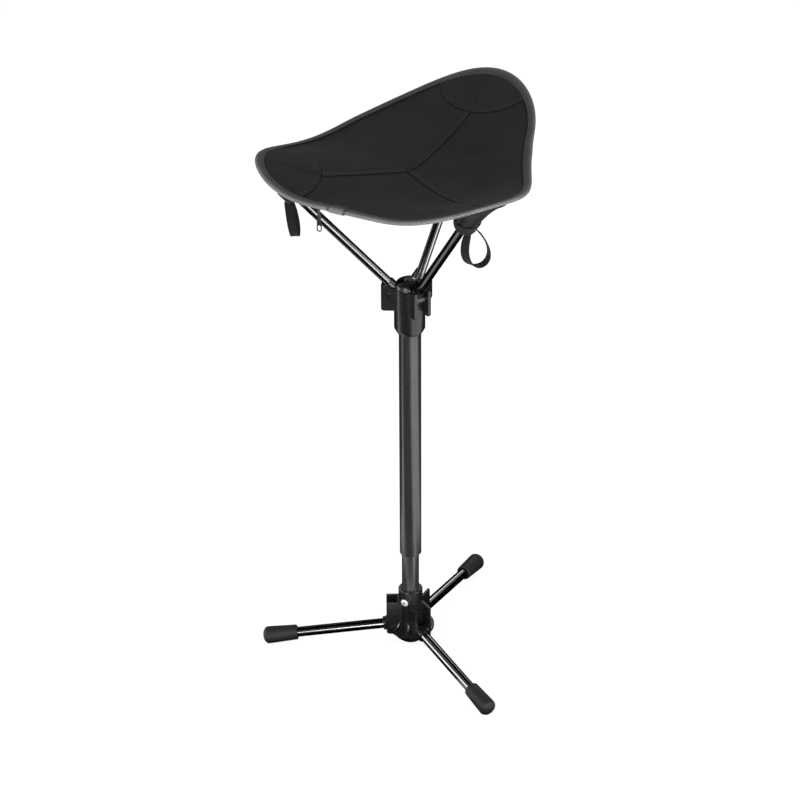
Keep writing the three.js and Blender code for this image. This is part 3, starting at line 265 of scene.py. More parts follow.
# Studio: lamps with their width, height, power and place, and dark cards that only mirrors see
LAMPS = [
    ("key", (1.2, 1.2), 24.0, (-1.6, -2.2, 2.6)),
    ("centre_strip", (0.32, 0.9), 10.0, (0.85, -2.1, 0.7)),
    ("side_strip", (0.5, 1.1), 14.0, (2.0, -1.15, 0.85)),
    ("front_strip", (1.6, 0.3), 20.0, (-0.2, -2.7, 0.9)),
    ("left_strip", (0.4, 0.9), 7.0, (-1.85, 0.1, 0.65)),
    ("rim_strip", (0.45, 0.5), 4.0, (0.5, 1.9, 1.15)),
]
LAMPS_FACE = (0.0, 0.0, 0.45)
WORLD_LIGHT = 0.4
FLOOR_SIZE = (14.0, 14.0)
FLOOR_HEIGHT = -0.0004
FLOOR_TONE = 0.3
FLOOR_GLOW = 0.85
FLOOR_BOUNCE = 0.8
DARK_CARDS = [
    ("card_floor_front", (1.32, 1.79), (-0.54, -1.025, 0.0006), (-0.54, -1.025, 1.0)),
    ("card_floor_middle", (0.45, 0.41), (0.025, 0.105, 0.0006), (0.025, 0.105, 1.0)),
    ("card_floor_left", (1.8, 2.15), (-1.1, 1.225, 0.0006), (-1.1, 1.225, 1.0)),
    ("card_floor_back", (2.2, 2.18), (0.9, 1.21, 0.0008), (0.9, 1.21, 1.0)),
    ("card_right", (2.4, 2.5), (2.5, 0.9, 1.25), (0.0, 0.9, 1.25)),
    ("card_left", (3.0, 1.6), (-2.3, -0.5, 2.0), (0.0, -0.5, 2.0)),
    ("card_top", (3.6, 6.8), (0.0, 0.0, 2.9), (0.0, 0.0, 0.0)),
    ("card_front", (1.8, 2.0), (-0.3, -3.4, 2.2), (-0.3, 0.0, 2.2)),
    ("card_back", (5.0, 1.7), (0.0, 2.5, 0.85), (0.0, 0.0, 0.85)),
]

# Camera, as it was fitted to the photo: place, lens and shift, and its three turns in radians
CAMERA_PLACE = (-0.0597, -2.8692, 2.1095)
CAMERA_SENSOR = 36.0
CAMERA_LENS = 123.0
CAMERA_SHIFT = (-0.0124, 0.0021)
CAMERA_CLIP = 50.0
CAMERA_TURN = -0.0208
CAMERA_TILT = QUARTER - 0.5472
CAMERA_ROLL = -0.003


# Surfaces


def feed(tree, node, inputs):
    """Fills a node's inputs, each with a value or from another node's output."""
    for socket, value in inputs.items():
        if isinstance(value, bpy.types.NodeSocket):
            tree.links.new(value, node.inputs[socket])
        else:
            node.inputs[socket].default_value = value


def add_node(tree, kind, inputs=None, **settings):
    """Adds a node with its settings and its inputs."""
    node = tree.nodes.new(kind)
    for name, value in settings.items():
        setattr(node, name, value)
    feed(tree, node, inputs or {})
    return node


def new_material(name):
    """An empty node material, its nodes and its shader."""
    material = bpy.data.materials.new(name)
    material.use_nodes = True
    tree = material.node_tree
    tree.nodes.clear()
    shader = add_node(tree, "ShaderNodeBsdfPrincipled")
    add_node(tree, "ShaderNodeOutputMaterial", {"Surface": shader.outputs["BSDF"]})
    return material, tree, shader


def grey(tone):
    """A grey as red, green, blue and alpha."""
    return (tone, tone, tone, 1.0)


def place_in(tree, source, scale=(1.0, 1.0, 1.0), turn=0.0):
    """Coordinates from the object or from the cloth's own map, stretched and turned."""
    spots = add_node(tree, "ShaderNodeTexCoord").outputs[source]
    inputs = {"Vector": spots, "Scale": scale, "Rotation": (0.0, 0.0, turn)}
    return add_node(tree, "ShaderNodeMapping", inputs).outputs["Vector"]


def noise(tree, scale, detail, stretch=(1.0, 1.0, 1.0)):
    """Cloudy variation, from 0 to 1."""
    inputs = {"Vector": place_in(tree, "Object", stretch), "Scale": scale, "Detail": detail}
    return add_node(tree, "ShaderNodeTexNoise", inputs).outputs["Fac"]


def bands(tree, period, turn, wobble):
    """Even bands across the cloth's own map, from 0 to 1."""
    place = place_in(tree, "UV", turn=turn)
    inputs = {"Vector": place, "Scale": math.tau / 20 / period, "Distortion": wobble, "Detail": 1.0}
    settings = {"wave_type": "BANDS", "bands_direction": "X", "wave_profile": "SIN"}
    return add_node(tree, "ShaderNodeTexWave", inputs, **settings).outputs["Fac"]


def blend_values(tree, operation, first, second):
    """Joins two patterns, or a pattern and a number, by one operation."""
    return add_node(tree, "ShaderNodeMath", {0: first, 1: second}, operation=operation).outputs[0]


def ramp(tree, fac, dark, light, low=0.3, high=0.7):
    """A grey that runs from dark to light as fac rises from low to high."""
    node = add_node(tree, "ShaderNodeValToRGB", {"Fac": fac})
    for element, tone, position in zip(node.color_ramp.elements, (dark, light), (low, high)):
        element.color = grey(tone)
        element.position = position
    return node.outputs["Color"]


def span(tree, fac, low, high):
    """A number that runs from low to high as fac runs from 0 to 1."""
    inputs = {"Value": fac, "To Min": low, "To Max": high}
    return add_node(tree, "ShaderNodeMapRange", inputs).outputs["Result"]


def relief(tree, *layers):
    """The normal of layers of height, each with its strength and depth."""
    below = {}
    for height, strength, depth in layers:
        inputs = {"Height": height, "Strength": strength, "Distance": depth, **below}
        below = {"Normal": add_node(tree, "ShaderNodeBump", inputs).outputs["Normal"]}
    return below["Normal"]


def painted_shade_darker(tree, colour):
    """Darkens a colour with painted shade along the lines where cloth is sewn down or folded in."""
    lines = add_node(tree, "ShaderNodeAttribute", attribute_name="painted_shade").outputs["Fac"]
    inputs = {"Factor": blend_values(tree, "MULTIPLY", lines, PAINTED_SHADE_SHARE), 6: colour, 7: grey(PAINTED_SHADE_TONE)}
    return add_node(tree, "ShaderNodeMix", inputs, data_type="RGBA", blend_type="MIX").outputs[2]


def moulded(name, tone, roughness, grain=0.12, shine=0.5):
    """Moulded plastic with a fine spark-eroded grain, a faint cloudiness and rubbed patches."""
    material, tree, shader = new_material(name)
    waves = (noise(tree, 90.0, 2.0), 0.12, 0.4 * MM)
    grit = (noise(tree, 2600.0, 2.0), grain, 0.1 * MM)
    feed(tree, shader, {
        "Base Color": ramp(tree, noise(tree, 45.0, 4.0), tone * 0.86, tone * 1.16),
        "Roughness": span(tree, noise(tree, 140.0, 5.0), roughness - 0.09, roughness + 0.09),
        "Specular IOR Level": shine,
        "Normal": relief(tree, waves, grit),
    })
    return material


def lacquered(name, tone, roughness):
    """Tube with a dark mirror finish: slow changes of tone and gloss along it."""
    material, tree, shader = new_material(name)
    feed(tree, shader, {
        "Base Color": ramp(tree, noise(tree, 30.0, 3.0), tone * 0.88, tone * 1.14),
        "Roughness": span(tree, noise(tree, 55.0, 1.0), roughness - 0.01, roughness + 0.012),
        "Metallic": 1.0,
        "Specular Tint": grey(0.25),
    })
    return material


def anodised(name, tone, roughness):
    """Drawn aluminium, anodised: fine lines along the tube and slow changes of tone."""
    material, tree, shader = new_material(name)
    lines = noise(tree, 1.0, 3.0, (1400.0, 1400.0, 9.0))
    both = blend_values(tree, "MULTIPLY", lines, noise(tree, 14.0, 3.0))
    feed(tree, shader, {
        "Base Color": ramp(tree, both, tone * 0.88, tone * 1.14, 0.12, 0.4),
        "Roughness": span(tree, lines, roughness - 0.05, roughness + 0.05),
        "Metallic": 0.85,
        "Normal": relief(tree, (lines, 0.1, 0.05 * MM)),
    })
    return material


def woven(name, tone, thread):
    """Plain-woven cloth: threads over and under each other, slubs and slight fading, with painted shade along
    sewn-down lines.
    """
    material, tree, shader = new_material(name)
    weave = blend_values(tree, "MULTIPLY", bands(tree, thread, 0.0, 0.3), bands(tree, thread, QUARTER, 0.3))
    slubs = noise(tree, 900.0, 2.0)
    mottle = blend_values(tree, "ADD", noise(tree, 22.0, 4.0), blend_values(tree, "MULTIPLY", slubs, 0.35))
    feed(tree, shader, {
        "Base Color": painted_shade_darker(tree, ramp(tree, mottle, tone * 0.86, tone * 1.16, 0.45, 0.9)),
        "Roughness": span(tree, slubs, 0.82, 0.94),
        "Sheen Weight": 0.03,
        "Sheen Roughness": 0.5,
        "Specular IOR Level": 0.15,
        "Normal": relief(tree, (noise(tree, 60.0, 4.0), 0.25, 0.6 * MM), (weave, 0.5, 0.12 * MM)),
    })
    return material


def ribbed(name, tone, rib, turn, depth):
    """Narrow tape or webbing: ribs at an angle to its length, crossed by fine threads, with painted shade
    where the mesh marks it.
    """
    material, tree, shader = new_material(name)
    ribs = bands(tree, rib, turn, 0.15)
    threads = bands(tree, rib / 2.6, turn + QUARTER, 0.2)
    shade = blend_values(tree, "ADD", blend_values(tree, "MULTIPLY", ribs, 0.8), noise(tree, 35.0, 4.0))
    feed(tree, shader, {
        "Base Color": painted_shade_darker(tree, ramp(tree, shade, tone * 0.5, tone * 1.5, 0.35, 1.0)),
        "Roughness": span(tree, noise(tree, 1500.0, 2.0), 0.77, 0.91),
        "Sheen Weight": 0.08,
        "Sheen Roughness": 0.5,
        "Specular IOR Level": 0.25,
        "Normal": relief(tree, (ribs, 0.8, depth), (threads, 0.4, depth / 2)),
    })
    return material


def bare_metal(name, tone, roughness, metallic):
    """Small metal part: tumbled, with fine scratches."""
    material, tree, shader = new_material(name)
    scratches = noise(tree, 600.0, 6.0, (1.0, 1.0, 5.0))
    feed(tree, shader, {
        "Base Color": ramp(tree, scratches, tone * 0.9, tone),
        "Roughness": span(tree, scratches, roughness - 0.06, roughness + 0.08),
        "Metallic": metallic,
        "Normal": relief(tree, (scratches, 0.08, 0.05 * MM)),
    })
    return material


# Each surface: its name, its kind, its tone and what else that kind asks for
SURFACE_ROWS = [
    ("hub_plastic", moulded, 0.010, 0.28, 0.12, 0.9),
    ("glossy_tube", lacquered, 0.16, 0.16),
    ("outer_post", anodised, 0.14, 0.28),
    ("inner_post", anodised, 0.2, 0.26),
    ("foot_rubber", moulded, 0.009, 0.6, 0.3),
    # fastener_steel: near-white, partly the steel's own brightness and partly a painted reflection of its
    # chrome shine
    ("fastener_steel", bare_metal, 0.95, 0.3, 0.25),
    ("lock_plastic", moulded, 0.7, 0.5),
    ("seat_cloth", woven, 0.022, 0.7 * MM),
    ("binding_tape", ribbed, 0.18, 2.8 * MM, 0.9, 0.16 * MM),
    ("webbing", ribbed, 0.009, 1.3 * MM, 0.0, 0.2 * MM),
    ("zip_metal", bare_metal, 0.08, 0.28, 0.8),
    ("seat_thread", ribbed, 0.1, 0.5 * MM, 0.0, 0.05 * MM),
    ("black_steel", bare_metal, 0.06, 0.34, 0.8),
]
SURFACES = {name: make(name, *values) for name, make, *values in SURFACE_ROWS}
BLACK_PARTS = ("arm_pin", "leg_pin", "hub_screw")


# Frame pieces


def make_face_smoother():
    """A modifier that drops the flat shading of a faceted mesh and keeps only its real edges sharp."""
    tree = bpy.data.node_groups.new("smooth_round_faces", "GeometryNodeTree")
    tree.interface.new_socket("Geometry", in_out="INPUT", socket_type="NodeSocketGeometry")
    tree.interface.new_socket("Geometry", in_out="OUTPUT", socket_type="NodeSocketGeometry")
    start = add_node(tree, "NodeGroupInput")
    angle = add_node(tree, "GeometryNodeInputMeshEdgeAngle").outputs["Unsigned Angle"]
    settings = {"data_type": "FLOAT", "operation": "GREATER_THAN"}
    sharp = add_node(tree, "FunctionNodeCompare", {0: angle, 1: SHARP_ANGLE}, **settings)
    inputs = {"Mesh": start.outputs[0], "Remove Custom": True, "Edge Sharpness": sharp.outputs[0]}
    normals = add_node(tree, "GeometryNodeSetMeshNormal", inputs, mode="SHARPNESS")
    add_node(tree, "NodeGroupOutput", {0: normals.outputs[0]})
    return tree


FACE_SMOOTHER = make_face_smoother()


def round_edges(piece, width, angle):
    """Rounds those edges of a piece that are sharper than an angle."""
    edge = piece.modifiers.new("rounded edges", "BEVEL")
    edge.width = width
    edge.segments = 2
    edge.limit_method = "ANGLE"
    edge.angle_limit = angle
    edge.use_clamp_overlap = True


def smooth_faces(piece):
    """Shades the round faces of a piece smooth."""
    smooth = piece.modifiers.new("smooth faces", "NODES")
    smooth.node_group = FACE_SMOOTHER


def dress_frame():
    """Gives each frame piece its slot's surface, and rounds its hard edges and faceted faces."""
    slots = {row["node"]: row["material_slot"] for row in frame["record"]["subparts"]}
    for name, node in frame["nodes"].items():
        node.data.materials.clear()
        surface = "black_steel" if name.startswith(BLACK_PARTS) else slots[name]
        node.data.materials.append(SURFACES[surface])
        weld = node.modifiers.new("joined", "WELD")
        weld.merge_threshold = WELD_DISTANCE
        if slots[name] != "seat_cloth":
            round_edges(node, EDGE_ROUNDING, EDGE_ANGLE)
        smooth_faces(node)
        even = node.modifiers.new("even shading", "WEIGHTED_NORMAL")
        even.keep_sharp = True


# Shapes


def finish_piece(work, name, body, surface):
    """Makes a piece of the working mesh, which rides on a body in its slot's surface."""
    mesh = bpy.data.meshes.new(name)
    work.to_mesh(mesh)
    work.free()
    mesh.materials.append(SURFACES[surface])
    piece = bpy.data.objects.new(name, mesh)
    bpy.context.scene.collection.objects.link(piece)
    mesh.shade_smooth()
    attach(piece, body)
    return piece


def thicken(piece, thickness, offset=-1.0):
    """Gives a single face of cloth its thickness."""
    wall = piece.modifiers.new("thickness", "SOLIDIFY")
    wall.thickness = thickness
    wall.offset = offset


def profile_spun(points, steps, closed):
    """A line of points in X and Z, joined up and spun round Z."""
    work = bmesh.new()
    verts = [work.verts.new((x, 0.0, z)) for x, z in points]
    pairs = list(zip(verts, verts[1:]))
    if closed:
        pairs.append((verts[-1], verts[0]))
    edges = [work.edges.new(pair) for pair in pairs]
    bmesh.ops.spin(
        work,
        geom=verts + edges,
        cent=(0.0, 0.0, 0.0),
        axis=(0.0, 0.0, 1.0),
        angle=math.tau,
        steps=steps,
        use_merge=True,
    )
    bmesh.ops.remove_doubles(work, verts=work.verts, dist=1e-6)
    bmesh.ops.recalc_face_normals(work, faces=work.faces)
    return work


def strip(along, across):
    """A flat strip of cells, with X from 0 to 1 along it and Y from -0.5 to 0.5 across it."""
    work = bmesh.new()
    bmesh.ops.create_grid(work, x_segments=along, y_segments=across, size=0.5)
    bmesh.ops.translate(work, verts=work.verts, vec=(0.5, 0.0, 0.0))
    return work


def move_verts(work, place):
    """Moves each point to the place that a function gives it."""
    for vert in work.verts:
        vert.co = place(vert.co)


def mark_painted_shade(work, measure):
    """Marks how much painted shade each point gets along a sewn-down or folded line, from 0 to 1."""
    layer = work.verts.layers.float.new("painted_shade")
    for vert in work.verts:
        vert[layer] = measure(vert.co)


def face_up(work):
    """Turns the faces of an open sheet so that they look up."""
    work.normal_update()
    if sum(face.normal.z * face.calc_area() for face in work.faces) < 0:
        bmesh.ops.reverse_faces(work, faces=work.faces)


def lay_map(work, measure, around=0.0):
    """Lays a map in metres over the faces. Around is the length at which a closed band starts again."""
    layer = work.loops.layers.uv.new("cloth")
    for face in work.faces:
        spots = [measure(loop.vert) for loop in face.loops]
        highest = max(u for u, v in spots)
        for loop, (u, v) in zip(face.loops, spots):
            if around and highest - u > around / 2:
                u += around
            loop[layer].uv = (u, v)


def step_up(distance, width):
    """Runs smoothly from 0 to 1 as distance runs from 0 to width."""
    share = min(1.0, max(0.0, distance / width))
    return share * share * (3 - 2 * share)


def turn_gap(turn, middle):
    """How far apart two directions are, in radians."""
    return abs((turn - middle + math.pi) % math.tau - math.pi)


# Seat surface


def corner_share(turn):
    """How near a direction is to a corner: 1 at a corner, 0 midway between two."""
    return (1 + math.cos(3 * (turn - FIRST_SIDE))) / 2


def rim_reach(turn):
    """How far the seat's edge lies from the post's axis."""
    side = turn - FIRST_SIDE
    even = WAIST_REACH + (CORNER_REACH - WAIST_REACH) * corner_share(turn) ** PLAN_POWER
    return even + SHIFT * math.cos(side) + SIDE_SHIFT * math.sin(side) + STRETCH * math.cos(2 * side)


def rim_rise(turn):
    """How far the seat's edge lies above the middle of the seat."""
    side = turn - FIRST_SIDE
    even = WAIST_RISE + (CORNER_RISE - WAIST_RISE) * corner_share(turn) ** RISE_POWER
    lean = LEAN * math.cos(side) + SIDE_LEAN * math.sin(side)
    return even + lean + SAG * math.cos(2 * side) + SIDE_SAG * math.sin(2 * side)


def sling_point(turn, reach, lift):
    """A point over the sling, at a distance from the post's axis and lifted off its top face."""
    share = max(0.0, reach / rim_reach(turn))
    height = CENTRE_HEIGHT + rim_rise(turn) * share**SLING_POWER + lift
    return Vector((reach * math.cos(turn), reach * math.sin(turn), height))


def cloth_waves(turn, reach):
    """Slack in the cloth: soft folds that fan out from each arm's tip, and slight puckers at the edge."""
    rim = rim_reach(turn)
    lift = 0.0
    for side in SIDES.values():
        across = reach * math.sin(turn - side)
        along = reach * math.cos(turn - side)
        away = math.hypot(FOLD_TIP - along, across)
        fan = math.atan2(across, FOLD_TIP + FOLD_ROOT - along)
        near = math.exp(-(((away - FOLD_REACH) / FOLD_SPREAD) ** 2))
        lift += FOLD_HEIGHT * near * math.sin(FOLDS * fan + FOLD_START)
    first, width = PUCKER_SHARES
    uneven = math.sin(PUCKERS * turn + 2 * math.sin(5 * turn))
    lift += PUCKER_HEIGHT * step_up(reach / rim - first, width) * uneven
    return lift * step_up(rim - reach - CALM_RIM, CALM_WIDTH)


def seat_spot(turn, reach, lift=0.0):
    """A spot on the face of the sling, or lifted off it."""
    return sling_point(turn, reach, cloth_waves(turn, reach) + lift)


def corner_spot(side, along, across, lift=0.0):
    """A spot on the sling by its distance out along a corner's direction and across it."""
    turn = side + math.atan2(across, along)
    return seat_spot(turn, math.hypot(along, across), lift)


def seat_normal(side, along, across):
    """The way that the sling's face looks at a spot."""
    here = corner_spot(side, along, across)
    outwards = corner_spot(side, along + MM, across) - here
    sideways = corner_spot(side, along, across + MM) - here
    return outwards.cross(sideways).normalized()


# Seat pieces


def build_seat_panel():
    """The sling: one sheet, dished between its three corners."""
    points = [(i / PANEL_RINGS, 0.0) for i in range(PANEL_RINGS + 1)]
    work = profile_spun(points, PANEL_STEPS, closed=False)
    inner_rings = PANEL_RINGS - PANEL_EDGE_RINGS

    def inset_of(spot):
        ring = PANEL_RINGS * min(1.0, math.hypot(spot.x, spot.y))
        flat_part = rim_reach(math.atan2(spot.y, spot.x)) - PANEL_EDGE
        if ring > inner_rings:
            return PANEL_EDGE * (PANEL_RINGS - ring) / PANEL_EDGE_RINGS
        return PANEL_EDGE + flat_part * (1 - ring / inner_rings)

    def place(spot):
        turn = math.atan2(spot.y, spot.x)
        return seat_spot(turn, rim_reach(turn) - inset_of(spot))

    # Painted shade on the panel: darkest under the binding, fading out just inside it
    shade_start = BINDING_WIDTH + BINDING_SHADE_START
    mark_painted_shade(work, lambda spot: 1 - step_up(inset_of(spot) - shade_start, BINDING_SHADE))
    move_verts(work, place)
    lay_map(work, lambda vert: (vert.co.x, vert.co.y))
    face_up(work)
    panel = finish_piece(work, "seat_cloth_panel", "seat", "seat_cloth")
    thicken(panel, PANEL_THICKNESS)
    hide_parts("seat_panel")
    return panel


def build_binding():
    """The tape folded over the seat's edge, with the lap where its ends meet."""
    lengths = [0.0]
    for first, second in zip(BINDING_SECTION, BINDING_SECTION[1:]):
        lengths.append(lengths[-1] + math.dist(first, second) * MM)
    # Each point of the section starts as a ring of its own, told by its radius
    widest, ring_step = BINDING_RINGS
    rings = [(widest - index * ring_step, 0.0) for index in range(len(BINDING_SECTION))]
    work = profile_spun(rings, BINDING_STEPS, closed=True)
    marks = {}
    painted_shade = work.verts.layers.float.new("painted_shade")
    for vert in work.verts:
        index = round((widest - math.hypot(vert.co.x, vert.co.y)) / ring_step)
        turn = math.atan2(vert.co.y, vert.co.x)
        marks[vert] = (turn % math.tau, index)
        inset, lift = BINDING_SECTION[index]
        from_end = BINDING_LAP_HALF - turn_gap(turn, FIRST_SIDE + BINDING_LAP)
        # Painted shade: each point of the section gets its listed darkening
        vert[painted_shade] = BINDING_PAINTED_SHADES[index]
        if index < BINDING_OUTSIDE:
            swell = BINDING_LAP_SWELL * step_up(from_end, BINDING_LAP_STEP)
            lift += swell if lift > BINDING_EDGE[1] else -swell
            inset += swell * BINDING_LAP_SPREADS[inset >= BINDING_EDGE[0]]
            # Painted shadow: a dark line across the tape at each end of the lap
            vert[painted_shade] = max(math.exp(-((from_end / BINDING_LAP_SHADOW) ** 2)), BINDING_PAINTED_SHADES[index])
        if lift > 0:
            near = math.exp(-(((inset - BINDING_PUCKER_INSET) / BINDING_PUCKER_WIDTH) ** 2))
            lift += BINDING_PUCKER * math.sin(BINDING_PUCKERS * turn) * near
        vert.co = sling_point(turn, rim_reach(turn) - inset * MM, lift * MM)
    bmesh.ops.recalc_face_normals(work, faces=work.faces)
    around = math.tau * BINDING_MAP_RADIUS
    lay_map(work, lambda vert: (marks[vert][0] / math.tau * around, lengths[marks[vert][1]]), around)
    binding = finish_piece(work, "seat_edge_binding", "seat", "binding_tape")
    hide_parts("seat_binding")
    return binding


def rim_cut(side, middle_along, middle_across, swing):
    """How far from a patch's middle, in a direction, the cloth inside the binding begins."""
    distance = 0.0
    while distance < CUT_LIMIT:
        along = middle_along - distance * math.cos(swing)
        across = middle_across + distance * math.sin(swing)
        turn = side + math.atan2(across, along)
        if rim_reach(turn) - math.hypot(along, across) > PATCH_TUCK:
            return distance
        distance += CUT_STEP
    return distance


def patch_columns(name, count):
    """Directions from a patch's middle that meet the cloth, each with the distance where it begins."""
    along, across, radius = PATCHES[name]
    swings = [math.radians(half / 2 - PATCH_SWEEP) for half in range(4 * PATCH_SWEEP + 1)]
    inside = [swing for swing in swings if rim_cut(SIDES[name], along, across, swing) < radius - MM]
    low, high = min(inside), max(inside)
    columns = []
    for index in range(count + 1):
        swing = low + (high - low) * index / count
        columns.append((swing, min(radius - 0.5 * MM, rim_cut(SIDES[name], along, across, swing))))
    return columns


def build_patch(name):
    """A rounded patch of a second cloth over a corner, tucked under the binding."""
    side = SIDES[name]
    middle_along, middle_across, radius = PATCHES[name]
    columns = patch_columns(name, PATCH_STEPS)
    work = strip(PATCH_STEPS, PATCH_RINGS)

    def reach_of(spot):
        swing, start = columns[round(min(1.0, max(0.0, spot.x)) * PATCH_STEPS)]
        share = spot.y + 0.5
        return swing, start + (radius - start) * (1 - (1 - share) ** PATCH_SPACING)

    # Painted shade along the patch's two thread lines and at its hem
    def painted_shade_of(spot):
        depth = radius - reach_of(spot)[1]
        lines = sum(math.exp(-(((depth - line) / THREAD_SHADE_WIDTH) ** 2)) for line in PATCH_THREADS)
        return min(1.0, THREAD_SHADE * lines + 1 - step_up(depth - PATCH_SHADE_START, PATCH_SHADE))

    def place(spot):
        swing, distance = reach_of(spot)
        along = middle_along - distance * math.cos(swing)
        across = middle_across + distance * math.sin(swing)
        turn = side + math.atan2(across, along)
        inset = rim_reach(turn) - math.hypot(along, across)
        depth = radius - distance
        lift = PATCH_HEM + (PATCH_LIFT - PATCH_HEM) * step_up(depth, PATCH_HEM_WIDTH)
        for line in PATCH_THREADS:
            lift -= THREAD_DENT * math.exp(-(((depth - line) / THREAD_DENT_WIDTH) ** 2))
        from_tape = inset - BINDING_WIDTH + PATCH_TUCK_OVERLAP
        lift -= PATCH_TUCK_DEPTH * (1 - step_up(from_tape, PATCH_TUCK_WIDTH))
        return corner_spot(side, along, across, lift)

    mark_painted_shade(work, painted_shade_of)
    move_verts(work, place)
    bmesh.ops.remove_doubles(work, verts=work.verts, dist=1e-6)
    face_up(work)
    half_turned = math.sqrt(0.5)
    lay_map(work, lambda vert: ((vert.co.x + vert.co.y) * half_turned, (vert.co.y - vert.co.x) * half_turned))
    patch = finish_piece(work, f"corner_patch_{name}", "seat", "seat_cloth")
    thicken(patch, PATCH_CLOTH)
    return patch


def build_seam(title, name, start, end, width, base):
    """A folded seam of raised cloth along a line on the seat."""
    start, end = Vector(start), Vector(end)
    run = (end - start).normalized()
    work = strip(*SEAM_CELLS)

    def place(spot):
        on_line = start.lerp(end, min(1.0, max(0.0, spot.x)))
        beside = Vector((-run.y, run.x)) * (spot.y * width)
        crown = 1 - min(1.0, abs(2 * spot.y) / SEAM_CROWN) ** SEAM_FLATNESS
        lift = base + SEAM_CLOTH + (SEAM_LIFT - SEAM_CLOTH) * crown
        return corner_spot(SIDES[name], *(on_line + beside), lift)

    # Painted shade along the seam's threads and at its edges
    def painted_shade_of(spot):
        from_thread = abs(spot.y) * width - SEAM_THREAD
        threads = SEAM_THREAD_SHADE * math.exp(-((from_thread / SEAM_THREAD_WIDTH) ** 2))
        first, reach = SEAM_SHADE
        return min(1.0, threads + step_up(abs(2 * spot.y) - first, reach))

    mark_painted_shade(work, painted_shade_of)
    lay_map(work, lambda vert: (vert.co.x * (end - start).length, vert.co.y * width))
    move_verts(work, place)
    face_up(work)
    seam = finish_piece(work, f"{title}_{name}", "seat", "seat_cloth")
    thicken(seam, PATCH_CLOTH)
    return seam


def stitch_row(work, points, normals):
    """Small stitches laid end to end along a line of points."""
    travelled = STITCH_PITCH / 2
    for first, second, normal in zip(points, points[1:], normals):
        step = second - first
        if step.length < 1e-9:
            continue
        along = step.normalized()
        side = normal.cross(along).normalized()
        while travelled < step.length:
            stand = Matrix((along, side, normal)).transposed().to_4x4()
            size = Matrix.Diagonal((STITCH_LENGTH / 2, STITCH_THICKNESS / 2, STITCH_THICKNESS / 2, 1.0))
            place = Matrix.Translation(first + along * travelled) @ stand @ size
            bmesh.ops.create_icosphere(work, subdivisions=1, radius=1.0, matrix=place)
            travelled += STITCH_PITCH
        travelled -= step.length


def build_stitches():
    """Thread along the seams, round the patches and along the binding."""
    work = bmesh.new()
    for name, side in SIDES.items():
        end = SEAM_ENDS[name][0]
        length = math.hypot(*end)
        for offset in (-SEAM_THREAD, SEAM_THREAD):
            shift = (-end[1] / length * offset, end[0] / length * offset)
            spots = [
                (end[0] * index / SEAM_SPOTS + shift[0], end[1] * index / SEAM_SPOTS + shift[1])
                for index in range(3, SEAM_SPOTS)
            ]
            points = [corner_spot(side, *spot, SEAM_LIFT) for spot in spots]
            stitch_row(work, points, [seat_normal(side, *spot) for spot in spots])
        middle_along, middle_across, radius = PATCHES[name]
        for line in PATCH_THREADS:
            spots = []
            for swing, start in patch_columns(name, PATCH_SPOTS):
                if start < radius - line - THREAD_MARGIN:
                    along = middle_along - (radius - line) * math.cos(swing)
                    spots.append((along, middle_across + (radius - line) * math.sin(swing)))
            points = [corner_spot(side, *spot, PATCH_LIFT - THREAD_BITE) for spot in spots]
            stitch_row(work, points, [seat_normal(side, *spot) for spot in spots])
    turns = [index * math.tau / BINDING_SPOTS for index in range(BINDING_SPOTS + 1)]
    reaches = [rim_reach(turn) - BINDING_THREAD_INSET for turn in turns]
    points = [sling_point(turn, reach, BINDING_THREAD_LIFT) for turn, reach in zip(turns, reaches)]
    stitch_row(work, points, [Vector((0.0, 0.0, 1.0))] * len(points))
    lay_map(work, lambda vert: (vert.co.x, vert.co.y))
    return finish_piece(work, "seat_stitches", "seat", "seat_thread")


# Corner pockets and pull loops


def arm_point(name, distance, lift):
    """A point in an arm's swing plane, at a distance along the arm and a lift off its axis."""
    rise = ARM_RISES[name]
    offset = ARM_OFFSET + lift
    reach = ARM_PIN_REACH + distance * math.cos(rise) - offset * math.sin(rise)
    return Vector((reach, 0.0, ARM_PIN_HEIGHT + distance * math.sin(rise) + offset * math.cos(rise)))


def pocket_point(name, share, turn, outward):
    """A point on a pocket, from its mouth on the arm at share 0 to its seam under the seat at 1."""
    side = SIDES[name]
    rise = ARM_RISES[name]
    mouth_radius = POCKET_MOUTH_RADIUS + outward
    mouth = arm_point(name, DOME_DISTANCE - POCKET_LENGTHS[name], mouth_radius * math.cos(turn))
    mouth.y = mouth_radius * math.sin(turn)
    outer = rim_reach(side) - POCKET_EDGE_INSET
    inner = arm_point(name, DOME_DISTANCE, 0.0).x - POCKET_SEAM_BEHIND_DOME
    reach = (outer + inner) / 2 - ((outer - inner) / 2 + outward) * math.cos(turn)
    across = (POCKET_HALF_WIDTH + outward) * math.sin(turn)
    seam = sling_point(side + math.atan2(across, reach), math.hypot(reach, across), 0.0)
    top = Vector((reach, across, seam.z + BINDING_UNDERSIDE - POCKET_DROPS[name]))
    along_arm = Vector((math.cos(rise), 0.0, math.sin(rise)))
    reach_up = min((top - mouth).length, (top.z - mouth.z) / along_arm.z)
    bow = mouth + along_arm * (POCKET_BOW_SHARE * reach_up)
    return mouth * (1 - share) ** 2 + bow * (2 * share * (1 - share)) + top * share**2


def finish_tube(name, title, surface, rings, top, place, radius, length):
    """A tube of cloth round a pocket: its rings up to a share of it, each point's place, and its map."""
    points = [(1.0, top * index / rings) for index in range(rings + 1)]
    work = profile_spun(points, POCKET_STEPS, closed=False)
    marks = {vert: (math.atan2(vert.co.y, vert.co.x), vert.co.z) for vert in work.verts}
    turned = Matrix.Rotation(SIDES[name], 3, "Z")
    move_verts(work, lambda spot: turned @ place(spot, math.atan2(spot.y, spot.x)))
    bmesh.ops.recalc_face_normals(work, faces=work.faces)
    lay_map(work, lambda vert: (marks[vert][0] * radius, marks[vert][1] * length), math.tau * radius)
    return finish_piece(work, f"{title}_{name}", "seat", surface)


